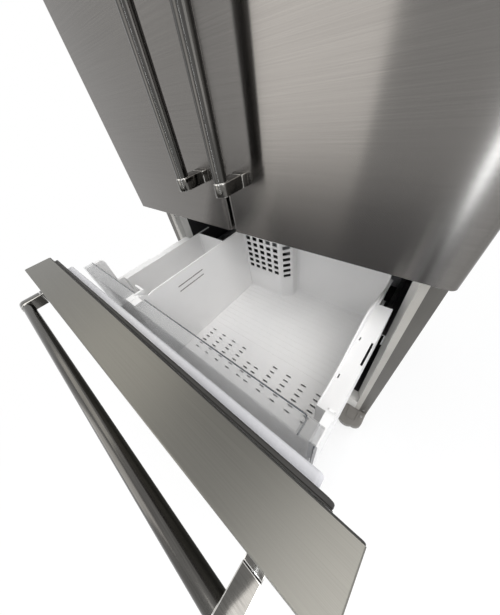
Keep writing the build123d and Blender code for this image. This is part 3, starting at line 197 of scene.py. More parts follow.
# %% [markdown]
# Brushed steel is a blurred mirror, so the lamps are placed for what it reflects as much as for
# the light that they give. A wide warm panel to the left makes the doors' broad glow, a narrow
# cool strip makes the bright streak near the right edge, and a high panel on the left lights the
# drawer's top. The white basket is filled by a panel overhead, out of the doors' reflection, a
# weak one at the right lifts the cabinet's side, and one behind lights the back. The power of an
# area lamp is spread over its area, so it is worked out from the brightness that is wanted.

# %% Lamps
POWER_PER_AREA = 4


def softbox(name, place, target, size, radiance, colour):
    """An area lamp that faces a target and isn't itself in the picture."""
    lamp_data = bpy.data.lights.new(name, "AREA")
    lamp_data.shape = "RECTANGLE"
    lamp_data.size, lamp_data.size_y = size
    lamp_data.energy = radiance * POWER_PER_AREA * size[0] * size[1]
    lamp_data.color = colour
    lamp = bpy.data.objects.new(name, lamp_data)
    bpy.context.scene.collection.objects.link(lamp)
    aim = Vector(target) - Vector(place)
    lamp.rotation_euler = aim.to_track_quat("-Z", "Y").to_euler()
    lamp.location = place
    lamp.visible_camera = False


LAMPS = (
    # name, place, target, size, radiance, colour
    ("left_front_panel", (-1.15, -2.6, 1.5), (0, -0.1, 0.9), (1.3, 2.6), 1.4, (1.0, 0.97, 0.93)),
    ("cool_strip", (0.49, -1.9, 1.4), (0.49, -0.1, 1.2), (0.035, 2.7), 15.0, (0.92, 0.96, 1.0)),
    ("high_left_panel", (-2.2, -0.6, 2.9), (0, -0.4, 0.7), (1.8, 1.4), 1.25, (1.0, 0.965, 0.88)),
    ("basket_panel", (1.3, -1.1, 3.3), (0.1, -0.3, 0.6), (2.0, 2.0), 3.5, (1.0, 0.985, 0.97)),
    ("right_fill", (2.4, -0.8, 1.3), (0, -0.3, 0.55), (1.2, 1.2), 1.3, (1.0, 0.99, 0.97)),
    ("rear_panel", (1.6, 3.0, 2.4), (0, 0, 0.9), (2.0, 2.0), 1.6, (1.0, 1.0, 1.0)),
)
for lamp_row in LAMPS:
    softbox(*lamp_row)

# %% [markdown]
# Every finish is built from nodes. The patterns read Object coordinates, which are metres in
# the model's own frame, so a brushed line keeps its width and direction from part to part.

# %% Start a finish


def finish(name, metallic=0.0, **sockets):
    """A new material, its node tree and its shader; sockets are constants of the shader."""
    material = bpy.data.materials.new(name)
    material.use_nodes = True
    tree = material.node_tree
    shader = tree.nodes["Principled BSDF"]
    shader.inputs["Metallic"].default_value = metallic
    for socket, value in sockets.items():
        shader.inputs[socket.replace("_", " ")].default_value = value
    return material, tree, shader


def pattern(tree, stretch, detail=3.0, kind="ShaderNodeTexNoise", roughness=0.5):
    """A noise on Object coordinates, stretched per axis; stretch is in cycles per metre."""
    place = add_node(tree, "ShaderNodeTexCoord")
    mapping = add_node(tree, "ShaderNodeMapping")
    mapping.inputs["Scale"].default_value = stretch
    noise = add_node(tree, kind)
    noise.inputs["Scale"].default_value = 1.0
    if kind == "ShaderNodeTexNoise":
        noise.inputs["Detail"].default_value = detail
        noise.inputs["Roughness"].default_value = roughness
    tree.links.new(place.outputs["Object"], mapping.inputs["Vector"])
    tree.links.new(mapping.outputs["Vector"], noise.inputs["Vector"])
    return noise.outputs["Fac"] if kind == "ShaderNodeTexNoise" else noise.outputs["Distance"]


def spread(tree, source, low, high, from_low=0.3, from_high=0.7):
    """Maps a pattern to the range of a number."""
    node = add_node(tree, "ShaderNodeMapRange")
    ends = {"From Min": from_low, "From Max": from_high, "To Min": low, "To Max": high}
    for name, value in ends.items():
        node.inputs[name].default_value = value
    tree.links.new(source, node.inputs["Value"])
    return node.outputs["Result"]


def tint(tree, source, dark, light, from_low=0.3, from_high=0.7):
    """Colours a pattern between two tones."""
    ramp = add_node(tree, "ShaderNodeValToRGB")
    ramp.color_ramp.elements[0].position = from_low
    ramp.color_ramp.elements[1].position = from_high
    ramp.color_ramp.elements[0].color = (*dark, 1)
    ramp.color_ramp.elements[1].color = (*light, 1)
    tree.links.new(source, ramp.inputs["Fac"])
    return ramp.outputs["Color"]


def relief(tree, shader, source, depth, strength):
    """Bumps the surface by a pattern; depth is in metres."""
    bump = add_node(tree, "ShaderNodeBump", Strength=strength, Distance=depth)
    tree.links.new(source, bump.inputs["Height"])
    tree.links.new(bump.outputs["Normal"], shader.inputs["Normal"])


def join(tree, a, b, how="ADD"):
    """Adds or multiplies two patterns."""
    node = add_node(tree, "ShaderNodeMath", operation=how)
    tree.links.new(a, node.inputs[0])
    tree.links.new(b, node.inputs[1])
    return node.outputs[0]


# %% [markdown]
# Brushed stainless is drawn along one direction, here across the doors. A noise that is
# stretched along X gives the lines: they change the roughness and the bump a little, and a
# slower, broader noise keeps the sheet from looking printed. The brushing also smears what the
# steel mirrors, up and down across the lines. The shader draws a highlight out along its
# tangent, so the tangent is turned across the brushing, which keeps a lamp's left and right
# edges sharp. The drawer's sheet is duller than the doors', so it is rougher and smears less.

# %% Brushed steel
BRUSH_LINES = (5.0, 1100.0, 1100.0)
BROAD_NOISE = (0.8, 3.0, 2.2)
HAIRLINE = 0.00001


def brushed_steel(name, dark, light, rough, smear=1.0):
    """Sheet that is brushed along X; smear is how far it draws out what it mirrors."""
    material, tree, shader = finish(name, metallic=1.0, Anisotropic=smear)
    fine = pattern(tree, BRUSH_LINES, roughness=0.6)
    broad = pattern(tree, BROAD_NOISE)
    tone = join(tree, spread(tree, fine, 0.0, 0.5), spread(tree, broad, 0.0, 0.5))
    tree.links.new(tint(tree, tone, dark, light, 0.1, 0.9), shader.inputs["Base Color"])
    tree.links.new(spread(tree, broad, rough[0], rough[1]), shader.inputs["Roughness"])
    relief(tree, shader, fine, HAIRLINE, 0.12)
    across = add_node(tree, "ShaderNodeCombineXYZ", Y=1.0, Z=1.0)
    turn = add_node(tree, "ShaderNodeVectorTransform", vector_type="VECTOR",
                    convert_from="OBJECT", convert_to="WORLD")
    tree.links.new(across.outputs[0], turn.inputs[0])
    tree.links.new(turn.outputs[0], shader.inputs["Tangent"])
    return material


door_steel = brushed_steel(
    "door_steel", (0.152, 0.145, 0.138), (0.194, 0.186, 0.177), (0.19, 0.23))
drawer_steel = brushed_steel(
    "drawer_steel", (0.133, 0.130, 0.118), (0.167, 0.163, 0.148), (0.38, 0.44), smear=0.6)
print("made", door_steel.name, drawer_steel.name)

# %% [markdown]
# The handles are drawn tubes in polished brackets. They mirror more sharply than the sheet, and
# the fine lines run along each tube, so along X on the drawer and along Z on the doors.

# %% Handle steel
ALONG_X, ALONG_Z, SHORT_X = (12, 700, 700), (700, 700, 12), (60, 700, 700)


def polished_steel(name, dark, light, rough, stretch):
    """Drawn or polished metal; stretch gives the direction of its fine lines."""
    material, tree, shader = finish(name, metallic=1.0)
    fine = pattern(tree, stretch, roughness=0.6)
    cloud = pattern(tree, (9, 9, 9))
    tree.links.new(tint(tree, fine, dark, light), shader.inputs["Base Color"])
    tree.links.new(spread(tree, cloud, rough[0], rough[1]), shader.inputs["Roughness"])
    relief(tree, shader, fine, HAIRLINE, 0.15)
    return material


drawer_tube_steel = polished_steel(
    "drawer_tube_steel", (0.070, 0.068, 0.064), (0.105, 0.102, 0.096), (0.16, 0.22), ALONG_X)
door_tube_steel = polished_steel(
    "door_tube_steel", (0.054, 0.053, 0.050), (0.088, 0.086, 0.082), (0.14, 0.20), ALONG_Z)
bracket_steel = polished_steel(
    "bracket_steel", (0.100, 0.097, 0.091), (0.135, 0.131, 0.123), (0.10, 0.18), SHORT_X)
# Much brighter than the brackets' steel: on their bevels it is a painted highlight, and it also
# makes the rings on the tubes.
collar_and_highlight_steel = polished_steel(
    "collar_and_highlight_steel", (0.50, 0.49, 0.47), (0.62, 0.61, 0.59), (0.12, 0.2), SHORT_X)
print("made", drawer_tube_steel.name, bracket_steel.name, collar_and_highlight_steel.name)

# %% [markdown]
# Plastics differ by gloss and by the texture of the mould. A fine noise in the bump gives the
# spark-eroded grain of a matt cover, and a very weak one the slight waviness of a glossy liner.

# %% Plastics


def plastic(name, dark, light, rough, grain=900, depth=0.00003, strength=0.25, **sockets):
    """Moulded plastic or paint; grain is in cycles per metre, and its depth in metres."""
    material, tree, shader = finish(name, **sockets)
    fine = pattern(tree, (grain, grain, grain))
    cloud = pattern(tree, (7, 7, 7), detail=4.0)
    tree.links.new(tint(tree, cloud, dark, light), shader.inputs["Base Color"])
    tree.links.new(spread(tree, fine, rough[0], rough[1]), shader.inputs["Roughness"])
    relief(tree, shader, fine, depth, strength)
    return material


BEIGE = ((0.455, 0.44, 0.405), (0.50, 0.485, 0.45), (0.38, 0.50))
liner_white = plastic("liner_white", (0.70, 0.70, 0.73), (0.76, 0.76, 0.79), (0.20, 0.30),
                      160, 0.00006, 0.12, Coat_Weight=0.15)
# The freezer's liner is white, but it is made near black here: painted shade for the unlit freezer
# cavity.
liner_dark = plastic("liner_dark", (0.030, 0.030, 0.031), (0.040, 0.040, 0.041), (0.5, 0.62),
                     300, 0.00005, 0.2)
bin_white = plastic("bin_white", (0.85, 0.845, 0.84), (0.89, 0.885, 0.88), (0.30, 0.40),
                    420, 0.00003, 0.12, Coat_Weight=0.08)
border_beige = plastic("border_beige", *BEIGE)
frame_beige = plastic("frame_beige", *BEIGE)
cover_grey = plastic("cover_grey", (0.150, 0.142, 0.130), (0.190, 0.180, 0.165), (0.40, 0.52))
cap_grey = plastic("cap_grey", (0.13, 0.127, 0.12), (0.165, 0.16, 0.152), (0.45, 0.6))
black_plastic = plastic("black_plastic", (0.012, 0.012, 0.013), (0.022, 0.022, 0.024), (0.42, 0.6))
seal_rubber = plastic("seal_rubber", (0.030, 0.029, 0.027), (0.044, 0.042, 0.040), (0.6, 0.75),
                      600, 0.00005, 0.3, Specular_IOR_Level=0.3)
foam_cream = plastic("foam_cream", (0.60, 0.52, 0.30), (0.72, 0.64, 0.40), (0.8, 0.95),
                     500, 0.0004, 0.6)
print("finishes so far", len(bpy.data.materials))

# %% [markdown]
# The freezer's border is painted on its flat front only. Inside the mouth the same part is
# white, so the finish changes from one to the other with the distance from the middle.

# %% Two tones on the freezer's border
WHITE_UP_TO, PAINTED_FROM = 0.4108, 0.4128
tree = frame_beige.node_tree
shader = tree.nodes["Principled BSDF"]
place = add_node(tree, "ShaderNodeTexCoord")
axes = add_node(tree, "ShaderNodeSeparateXYZ")
from_middle = add_node(tree, "ShaderNodeMath", operation="ABSOLUTE")
painted = add_node(tree, "ShaderNodeMapRange", From_Min=WHITE_UP_TO, From_Max=PAINTED_FROM)
two_tone = add_node(tree, "ShaderNodeMix", data_type="RGBA")
beige = shader.inputs["Base Color"].links[0].from_socket
cloud = pattern(tree, (7, 7, 7), detail=4.0)
white = tint(tree, cloud, (0.74, 0.73, 0.70), (0.79, 0.78, 0.75))
tree.links.new(place.outputs["Object"], axes.inputs[0])
tree.links.new(axes.outputs["X"], from_middle.inputs[0])
tree.links.new(from_middle.outputs[0], painted.inputs["Value"])
tree.links.new(painted.outputs["Result"], two_tone.inputs["Factor"])
tree.links.new(white, two_tone.inputs[6])
tree.links.new(beige, two_tone.inputs[7])
tree.links.new(two_tone.outputs[2], shader.inputs["Base Color"])
print("border in two tones")

# %% [markdown]
# Clear plastic is thin here, so it is made with a part-transparent surface that still catches a
# gloss. Full refraction would bend a wall that has no visible thickness and darken what it holds.

# %% Clear materials


def clear_sheet(name, dark, light, alpha, rough):
    """A thin sheet that is nearly clear from the front and closes up at a glancing angle."""
    material, tree, shader = finish(name, IOR=1.49, Specular_IOR_Level=0.5)
    cloud = pattern(tree, (4, 4, 4))
    tree.links.new(tint(tree, cloud, dark, light), shader.inputs["Base Color"])
    tree.links.new(spread(tree, cloud, rough[0], rough[1]), shader.inputs["Roughness"])
    glance = add_node(tree, "ShaderNodeLayerWeight", Blend=0.35)
    body = spread(tree, glance.outputs["Facing"], alpha[0], alpha[1], 0.0, 1.0)
    uneven = join(tree, body, spread(tree, cloud, 0.95, 1.05), "MULTIPLY")
    tree.links.new(uneven, shader.inputs["Alpha"])
    return material


smoked_clear = clear_sheet(
    "smoked_clear", (0.54, 0.55, 0.56), (0.61, 0.62, 0.63), (0.07, 0.42), (0.08, 0.14))
# A near-opaque dark sheet: the painted shade on the cut edges of the smoked front.
clear_edge_shade = clear_sheet(
    "clear_edge_shade", (0.050, 0.056, 0.070), (0.075, 0.083, 0.10), (0.86, 0.97), (0.06, 0.12))
bin_clear = clear_sheet(
    "bin_clear", (0.70, 0.76, 0.80), (0.80, 0.85, 0.88), (0.14, 0.75), (0.05, 0.12))
shelf_glass = clear_sheet(
    "shelf_glass", (0.50, 0.66, 0.60), (0.60, 0.74, 0.68), (0.10, 0.70), (0.02, 0.05))
print("made", smoked_clear.name, bin_clear.name, shelf_glass.name)

# %% [markdown]
# The cabinet is sprayed; its slides, hinges, base and back are galvanised. Zinc crystals are
# patches of slightly different shine, which is what a Voronoi pattern looks like when it drives
# roughness.

# %% Painted and galvanised steel
cabinet_paint = plastic("cabinet_paint", (0.102, 0.097, 0.088), (0.122, 0.115, 0.105),
                        (0.34, 0.44), 260, 0.00008, 0.2)
black_paint = plastic("black_paint", (0.014, 0.014, 0.016), (0.024, 0.024, 0.026),
                      (0.25, 0.42), 180, 0.00008, 0.2)

zinc_steel, tree, shader = finish("zinc_steel", metallic=1.0)
spangle = pattern(tree, (90, 90, 90), kind="ShaderNodeTexVoronoi")
speck = pattern(tree, (14, 14, 14), detail=4.0)
zinc = tint(tree, speck, (0.40, 0.405, 0.41), (0.48, 0.485, 0.49))
tree.links.new(zinc, shader.inputs["Base Color"])
tree.links.new(spread(tree, spangle, 0.40, 0.52, 0.1, 0.8), shader.inputs["Roughness"])
relief(tree, shader, spangle, 0.00003, 0.2)

coil_aluminium, tree, shader = finish("coil_aluminium", metallic=1.0)
streak = pattern(tree, (30, 400, 30))
aluminium = tint(tree, streak, (0.50, 0.51, 0.52), (0.66, 0.67, 0.68))
tree.links.new(aluminium, shader.inputs["Base Color"])
tree.links.new(spread(tree, streak, 0.28, 0.45), shader.inputs["Roughness"])
relief(tree, shader, streak, 0.00003, 0.2)
print("made", cabinet_paint.name, zinc_steel.name, coil_aluminium.name)

# %% [markdown]
# Each solid of the model now gets one finish. One table, with the names of the solids behind
# each finish, shows at a glance what is made of the same stuff, and it is easy to check that
# none is left out.

# %% Give each solid its finish
FINISHES = {
    door_steel: "left_door_skin right_door_skin",
    drawer_steel: "drawer_skin",
    door_tube_steel: "left_door_handle right_door_handle",
    drawer_tube_steel: "drawer_handle",
    bracket_steel: "left_door_brackets right_door_brackets drawer_handle_brackets",
    cabinet_paint: "cabinet_shell",
    border_beige: "fridge_front_frame",
    frame_beige: "freezer_front_frame",
    liner_white: "fridge_liner air_duct control_panel evaporator_cover shelf_frames "
                 "left_door_liner right_door_liner drawer_liner",
    liner_dark: "freezer_liner",
    cover_grey: "foot_covers hinge_covers",
    cap_grey: "left_door_caps right_door_caps flip_bar",
    seal_rubber: "left_door_seal right_door_seal drawer_seal",
    bin_white: "basket divider lower_bin",
    smoked_clear: "clear_front",
    bin_clear: "left_door_bins right_door_bins left_crisper right_crisper",
    shelf_glass: "shelf_glass",
    zinc_steel: "back_panel base_frame top_hinges centre_hinges cabinet_slides mid_rails "
                "drawer_frame machine_cover",
    black_plastic: "left_foot right_foot rear_wheels evaporator_fan condenser_fan drain_pan "
                   "power_inlet",
    black_paint: "compressor",
    coil_aluminium: "evaporator condenser",
    foam_cream: "cabinet_foam left_door_foam right_door_foam drawer_foam",
}
for material, names in FINISHES.items():
    for name in names.split():
        nodes[name].data.materials.append(material)
print("dressed", sum(len(names.split()) for names in FINISHES.values()), "of", len(nodes))

# %% [markdown]
# Small parts that repeat or follow a line come from Geometry Nodes. A tree is built once, with
# its sizes as named inputs, and is then run on a simple base mesh: points for screws, a line of
# edges for a bead. The result is kept as a plain mesh, because an exported model has no modifiers.

# %% Geometry Nodes toolkit


def start_tree(name, **sizes):
    """A tree with one geometry input and one number for each named size."""
    tree = bpy.data.node_groups.new(name, "GeometryNodeTree")
    tree.interface.new_socket("Geometry", in_out="INPUT", socket_type="NodeSocketGeometry")
    for label, value in sizes.items():
        socket = tree.interface.new_socket(label, in_out="INPUT", socket_type="NodeSocketFloat")
        socket.default_value = value
    tree.interface.new_socket("Geometry", in_out="OUTPUT", socket_type="NodeSocketGeometry")
    return tree, tree.nodes.new("NodeGroupInput").outputs


def chain(tree, source, *steps):
    """Links the geometry through a row of nodes, and returns the last one's output."""
    for node in steps:
        tree.links.new(source, node.inputs[0])
        source = node.outputs[0]
    return source


def end_tree(tree, source, material):
    """Realises instances, sets the material and ends the tree."""
    realise = tree.nodes.new("GeometryNodeRealizeInstances")
    paint = tree.nodes.new("GeometryNodeSetMaterial")
    paint.inputs["Material"].default_value = material
    finished = chain(tree, source, realise, paint)
    tree.links.new(finished, tree.nodes.new("NodeGroupOutput").inputs[0])


def grow(name, tree, base, body, slot, **sizes):
    """Runs a tree on a base mesh, keeps the result as a plain mesh and rides it on a body."""
    seed = bpy.data.objects.new(name + "_base", base)
    bpy.context.scene.collection.objects.link(seed)
    modifier = seed.modifiers.new("grow", "NODES")
    modifier.node_group = tree
    for item in tree.interface.items_tree:
        if item.in_out == "INPUT" and item.name in sizes:
            modifier[item.identifier] = sizes[item.name]
    scene_now = bpy.context.evaluated_depsgraph_get()
    mesh = bpy.data.meshes.new_from_object(seed.evaluated_get(scene_now))
    bpy.data.objects.remove(seed)
    return keep(name, mesh, body)


def keep(name, mesh, body):
    """Makes a finished mesh a piece of the object."""
    mesh.name = name
    piece = bpy.data.objects.new(name, mesh)
    bpy.context.scene.collection.objects.link(piece)
    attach(piece, body)
    print(name, len(mesh.polygons), "faces")
    return piece


def spots(name, places):
    """A base mesh of points, each with the direction that it faces."""
    mesh = bpy.data.meshes.new(name)
    mesh.from_pydata([place for place, facing in places], [], [])
    directions = [number for place, facing in places for number in facing]
    mesh.attributes.new("facing", "FLOAT_VECTOR", "POINT").data.foreach_set("vector", directions)
    return mesh


def lines(name, paths, closed=False):
    """A base mesh of edges, one run for each path."""
    points, edges = [], []
    for path in paths:
        first = len(points)
        points += path
        edges += [(first + i, first + i + 1) for i in range(len(path) - 1)]
        if closed:
            edges.append((len(points) - 1, first))
    mesh = bpy.data.meshes.new(name)
    mesh.from_pydata(points, edges, [])
    return mesh


def bead(name, tree, runs, body, slot, closed=False, **sizes):
    """Grows a piece along runs of points."""
    return grow(name, tree, lines(name + "_path", runs, closed), body, slot, **sizes)


def studs(name, tree, places, body, slot, **sizes):
    """Grows a piece with one small solid on each place."""
    return grow(name, tree, spots(name + "_spots", places), body, slot, **sizes)


print("toolkit ready")

# %% [markdown]
# The seal of a real door is an extruded rubber strip: a flat foot that is pressed into the inner
# panel, two soft folds and a tube between them for the magnet. Swept round the door it is one
# closed ring with mitred corners. The tree draws the section once, from four rounded rectangles,
# and Curve to Mesh carries it along the ring.

# %% Bellows seal tree
SEAL_CORNER = 0.006
SEAL_SECTION = (
    # width, height, x, y and corner in millimetres: the foot, the two folds, the magnet's tube
    (15.0, 1.6, 0, 0.8, 0.6),
    (4.6, 6.2, 4.6, 4.8, 1.9),
    (4.6, 6.2, -4.6, 4.8, 1.9),
    (4.0, 3.0, 0, 3.0, 1.2),
)
SEAL_HALF = SEAL_SECTION[0][0] / 2


def section(tree, width, height, x, y, corner):
    """A rounded rectangle of the seal's section, as a curve."""
    outline = tree.nodes.new("GeometryNodeCurvePrimitiveQuadrilateral")
    outline.inputs["Width"].default_value = width * MM
    outline.inputs["Height"].default_value = height * MM
    rounding = tree.nodes.new("GeometryNodeFilletCurve")
    rounding.mode = "POLY"
    rounding.inputs["Count"].default_value = 3
    rounding.inputs["Radius"].default_value = corner * MM
    shift = tree.nodes.new("GeometryNodeTransform")
    shift.inputs["Translation"].default_value = (x * MM, y * MM, 0)
    return chain(tree, outline.outputs[0], rounding, shift)


seal_tree, inputs = start_tree("bellows_seal", Corner=SEAL_CORNER)
ring = seal_tree.nodes.new("GeometryNodeMeshToCurve")
ring_corner = seal_tree.nodes.new("GeometryNodeFilletCurve")
ring_corner.mode = "POLY"
ring_corner.inputs["Count"].default_value = 4
seal_tree.links.new(inputs["Corner"], ring_corner.inputs["Radius"])
upright = seal_tree.nodes.new("GeometryNodeSetCurveNormal")
upright.mode = "Z_UP"
path = chain(seal_tree, inputs["Geometry"], ring, ring_corner, upright)
shape = seal_tree.nodes.new("GeometryNodeJoinGeometry")
for rectangle in SEAL_SECTION:
    seal_tree.links.new(section(seal_tree, *rectangle), shape.inputs[0])
sweep = seal_tree.nodes.new("GeometryNodeCurveToMesh")
seal_tree.links.new(path, sweep.inputs["Curve"])
seal_tree.links.new(shape.outputs[0], sweep.inputs["Profile Curve"])
stand = seal_tree.nodes.new("GeometryNodeTransform")
stand.inputs["Rotation"].default_value = (math.pi / 2, 0, 0)
end_tree(seal_tree, chain(seal_tree, sweep.outputs[0], stand), seal_rubber)
print("seal tree", len(seal_tree.nodes), "nodes")

# %% Seals of the two doors and the drawer


def seal(node, body):
    """Sweeps a seal in the space of its solid; the ring is drawn flat and then stood up."""
    corner_low, corner_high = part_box(node)
    half = SEAL_HALF * MM
    left, right = corner_low.x + half, corner_high.x - half
    bottom, top = corner_low.z + half, corner_high.z - half
    flat = -corner_low.y
    ring = [(left, bottom, flat), (right, bottom, flat), (right, top, flat), (left, top, flat)]
    piece = bead(node + "_bellows", seal_tree, [ring], body, "seal_rubber", closed=True,
                 Corner=SEAL_CORNER)
    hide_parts(node)


seal("left_door_seal", "left_door")
seal("right_door_seal", "right_door")
seal("drawer_seal", "drawer")

# %% [markdown]
# The handle brackets are castings: a foot against the door, a thin dark joint, and a post that
# ends in a half-round nose. Their sides are polished dark, and the narrow bevel along every edge
# is what catches the light. So the outline is extruded in bmesh, and the bevel's own faces get a
# much brighter steel, a painted highlight along every edge.

# %% Handle brackets
STANDOFF = 0.055
FOOT_DEPTH, FOOT_HALF_AT_DOOR, FOOT_HALF_AT_JOINT = 0.013, 0.018, 0.0154
POST_START, POST_HALF = 0.0138, 0.015
NOSE_STEPS = 18
BRACKET_LENGTH = 0.024
BEVEL_WIDTH = 0.0011


def prism(solid, outline, frame_of, start, end):
    """Extrudes an outline along a handle into a bmesh."""
    near = [solid.verts.new(frame_of(out, side, start)) for out, side in outline]
    far = [solid.verts.new(frame_of(out, side, end)) for out, side in outline]
    solid.faces.new(near)
    solid.faces.new(reversed(far))
    count = len(outline)
    for i in range(count):
        solid.faces.new((near[i], far[i], far[(i + 1) % count], near[(i + 1) % count]))


def bracket_outlines():
    """Foot and post, as (distance from the door, sideways) in metres."""
    foot = [(0, -FOOT_HALF_AT_DOOR), (FOOT_DEPTH, -FOOT_HALF_AT_JOINT),
            (FOOT_DEPTH, FOOT_HALF_AT_JOINT), (0, FOOT_HALF_AT_DOOR)]
    post = [(POST_START, -POST_HALF), (STANDOFF, -POST_HALF)]
    for i in range(1, NOSE_STEPS):
        angle = -math.pi / 2 + math.pi * i / NOSE_STEPS
        post.append((STANDOFF + POST_HALF * math.cos(angle), POST_HALF * math.sin(angle)))
    post += [(STANDOFF, POST_HALF), (POST_START, POST_HALF)]
    return foot, post


def brackets(name, node, body, frame_of, starts):
    """All brackets of one handle, bevelled, with a painted highlight on their rims."""
    shape = bmesh.new()
    for start in starts:
        for outline in bracket_outlines():
            prism(shape, outline, frame_of, start, start + BRACKET_LENGTH)
    bmesh.ops.recalc_face_normals(shape, faces=shape.faces)
    sharp = [edge for edge in shape.edges if edge.calc_face_angle() > math.radians(30)]
    bmesh.ops.bevel(shape, geom=sharp, offset=BEVEL_WIDTH, segments=2, profile=0.6,
                    affect="EDGES", material=1)
    for face in shape.faces:
        face.smooth = True
    mesh = bpy.data.meshes.new(name)
    shape.to_mesh(mesh)
    shape.free()
    mesh.materials.append(bracket_steel)
    mesh.materials.append(collar_and_highlight_steel)
    mesh.set_sharp_from_angle(angle=math.radians(25))
    piece = keep(name, mesh, body)
    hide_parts(node)


for word in ("left", "right"):
    node = word + "_door_brackets"
    bracket_low, bracket_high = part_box(node)
    middle = (bracket_low.x + bracket_high.x) / 2
    brackets(word + "_handle_brackets", node, word + "_door",
             lambda out, across, along, x=middle: (x + across, DOOR_FACE - out, along),
             (bracket_low.z, bracket_high.z - BRACKET_LENGTH))
bracket_low, bracket_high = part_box("drawer_handle_brackets")
middle = (bracket_low.z + bracket_high.z) / 2
brackets("drawer_brackets", "drawer_handle_brackets", "drawer",
         lambda out, across, along: (along, DRAWER_FACE - out, middle + across),
         (bracket_low.x, bracket_high.x - BRACKET_LENGTH))

# %% [markdown]
# A bead is a thin round moulding along an edge. The tree turns a run of edges into a curve,
# rounds its corners and sweeps a small circle along it. For an edge that is curved itself, a
# second tree draws a smooth line through the given points first.

# %% Bead trees
CURVE_POINTS = 60


def bead_tree(name, material, smooth=False, sides=8):
    """Sweeps a circle along the base mesh's edges."""
    tree, inputs = start_tree(name, Radius=0.0015, Corner=0.004)
    steps = [tree.nodes.new("GeometryNodeMeshToCurve")]
    if smooth:
        through = tree.nodes.new("GeometryNodeCurveSplineType")
        through.spline_type = "CATMULL_ROM"
        even = tree.nodes.new("GeometryNodeResampleCurve")
        even.inputs["Count"].default_value = CURVE_POINTS
        steps += [through, even]
    else:
        corner = tree.nodes.new("GeometryNodeFilletCurve")
        corner.mode = "POLY"
        corner.inputs["Count"].default_value = 4
        corner.inputs["Limit Radius"].default_value = True
        tree.links.new(inputs["Corner"], corner.inputs["Radius"])
        steps.append(corner)
    path = chain(tree, inputs["Geometry"], *steps)
    circle = tree.nodes.new("GeometryNodeCurvePrimitiveCircle")
    circle.inputs["Resolution"].default_value = sides
    tree.links.new(inputs["Radius"], circle.inputs["Radius"])
    sweep = tree.nodes.new("GeometryNodeCurveToMesh")
    sweep.inputs["Fill Caps"].default_value = True
    tree.links.new(path, sweep.inputs["Curve"])
    tree.links.new(circle.outputs[0], sweep.inputs["Profile Curve"])
    shade = tree.nodes.new("GeometryNodeSetShadeSmooth")
    end_tree(tree, chain(tree, sweep.outputs[0], shade), material)
    return tree


white_bead = bead_tree("white_bead", bin_white)
white_curve = bead_tree("white_curve", bin_white, smooth=True)
edge_shade_bead = bead_tree("edge_shade_bead", clear_edge_shade, sides=6)
cover_bead = bead_tree("cover_bead", cover_grey)
rim_bead = bead_tree("rim_bead", collar_and_highlight_steel)
joint_shade_bead = bead_tree("joint_shade_bead", seal_rubber)
print("bead trees ready")

# %% [markdown]
# The basket is moulded in one piece, and its open edge is rolled over into a lip, which is the
# bright line along its walls. The right wall's edge rises to a crest beside the middle of the
# drawer, so its bead runs through the same points as the wall.

# %% Lip of the basket
WALL_X, STEP_X = 0.3532, 0.0768
FRONT, GRILLE, STEP, REAR = deep(-205), deep(127.2), deep(156.8), deep(186.2)
RIM, TALL = low(150), low(88)
rear_edge = [(-0.096, GRILLE, TALL), (0.0472, GRILLE, TALL), (STEP_X, STEP, TALL),
             (STEP_X, REAR, TALL), (0.3515, REAR, TALL)]
left_edge = [(-WALL_X, FRONT, RIM), (-WALL_X, GRILLE, RIM), (-0.098, GRILLE, RIM)]
bead("basket_lip", white_bead, [rear_edge, left_edge], "basket", "bin_white",
     Radius=0.0017, Corner=0.006)
CREST = (
    # distance behind the doors' face and rise above the rim, in millimetres
    (-205, 0), (-150, 0), (-107, 9), (-60, 30), (0, 49), (43, 37), (92, 20), (150, 0), (186, 0),
)
crest_line = [(WALL_X, deep(y), RIM + rise * MM) for y, rise in CREST]
bead("basket_crest_lip", white_curve, [crest_line], "basket", "bin_white", Radius=0.002)

# %% [markdown]
# The divider has two long slots one above the other. Their narrow, deep openings lie in shade,
# so thin grey lines along each of them are painted shade on the white plate.

# %% Painted shade in the divider's slots
DIVIDER_MIDDLE, DIVIDER_HALF = -0.095, 0.00175
SLOTS = ((deep(-113), low(109)), (deep(-114), low(125)))
SLOT_HALF_LENGTH, SLOT_HALF_HEIGHT = 0.0455, 0.0009
plate_face = DIVIDER_MIDDLE + DIVIDER_HALF
slot_shade_lines = []
for middle, height in SLOTS:
    for rise in (-SLOT_HALF_HEIGHT, SLOT_HALF_HEIGHT):
        slot_shade_lines.append([(plate_face, middle - SLOT_HALF_LENGTH, height + rise),
                           (plate_face, middle + SLOT_HALF_LENGTH, height + rise)])
bead("divider_slot_painted_shade", cover_bead, slot_shade_lines, "basket", "cover_plastic",
     Radius=0.00055, Corner=0.0)

# %% [markdown]
# Behind its steel skin the drawer's front meets the white inner panel in a narrow joint, which
# lies in shade. A thin dark bead of the seal's rubber along it is painted shade: it is the dark
# line beside the steel.

# %% Painted shade in the joint behind the drawer's skin
EDGE_X = 0.4535
skin_back = drawer_high.y + 0.0008
edge_end, edge_top = drawer_high.z - 0.25, drawer_high.z - 0.0014
joint_shade_line = [(-EDGE_X, skin_back, edge_end), (-EDGE_X, skin_back, edge_top),
               (EDGE_X, skin_back, edge_top), (EDGE_X, skin_back, edge_end)]
bead("drawer_joint_painted_shade", joint_shade_bead, [joint_shade_line], "drawer", "seal_rubber",
     Radius=0.0013, Corner=0.003)

# %% [markdown]
# Clear plastic looks dark at its cut edges, because light is caught inside the sheet and leaves
# there. The thin sheet here does not do that, so thin dark beads are painted shade that draws the
# outline: one along the inner top edge, with a gap for the divider and a step near the right end,
# and one down the right end.

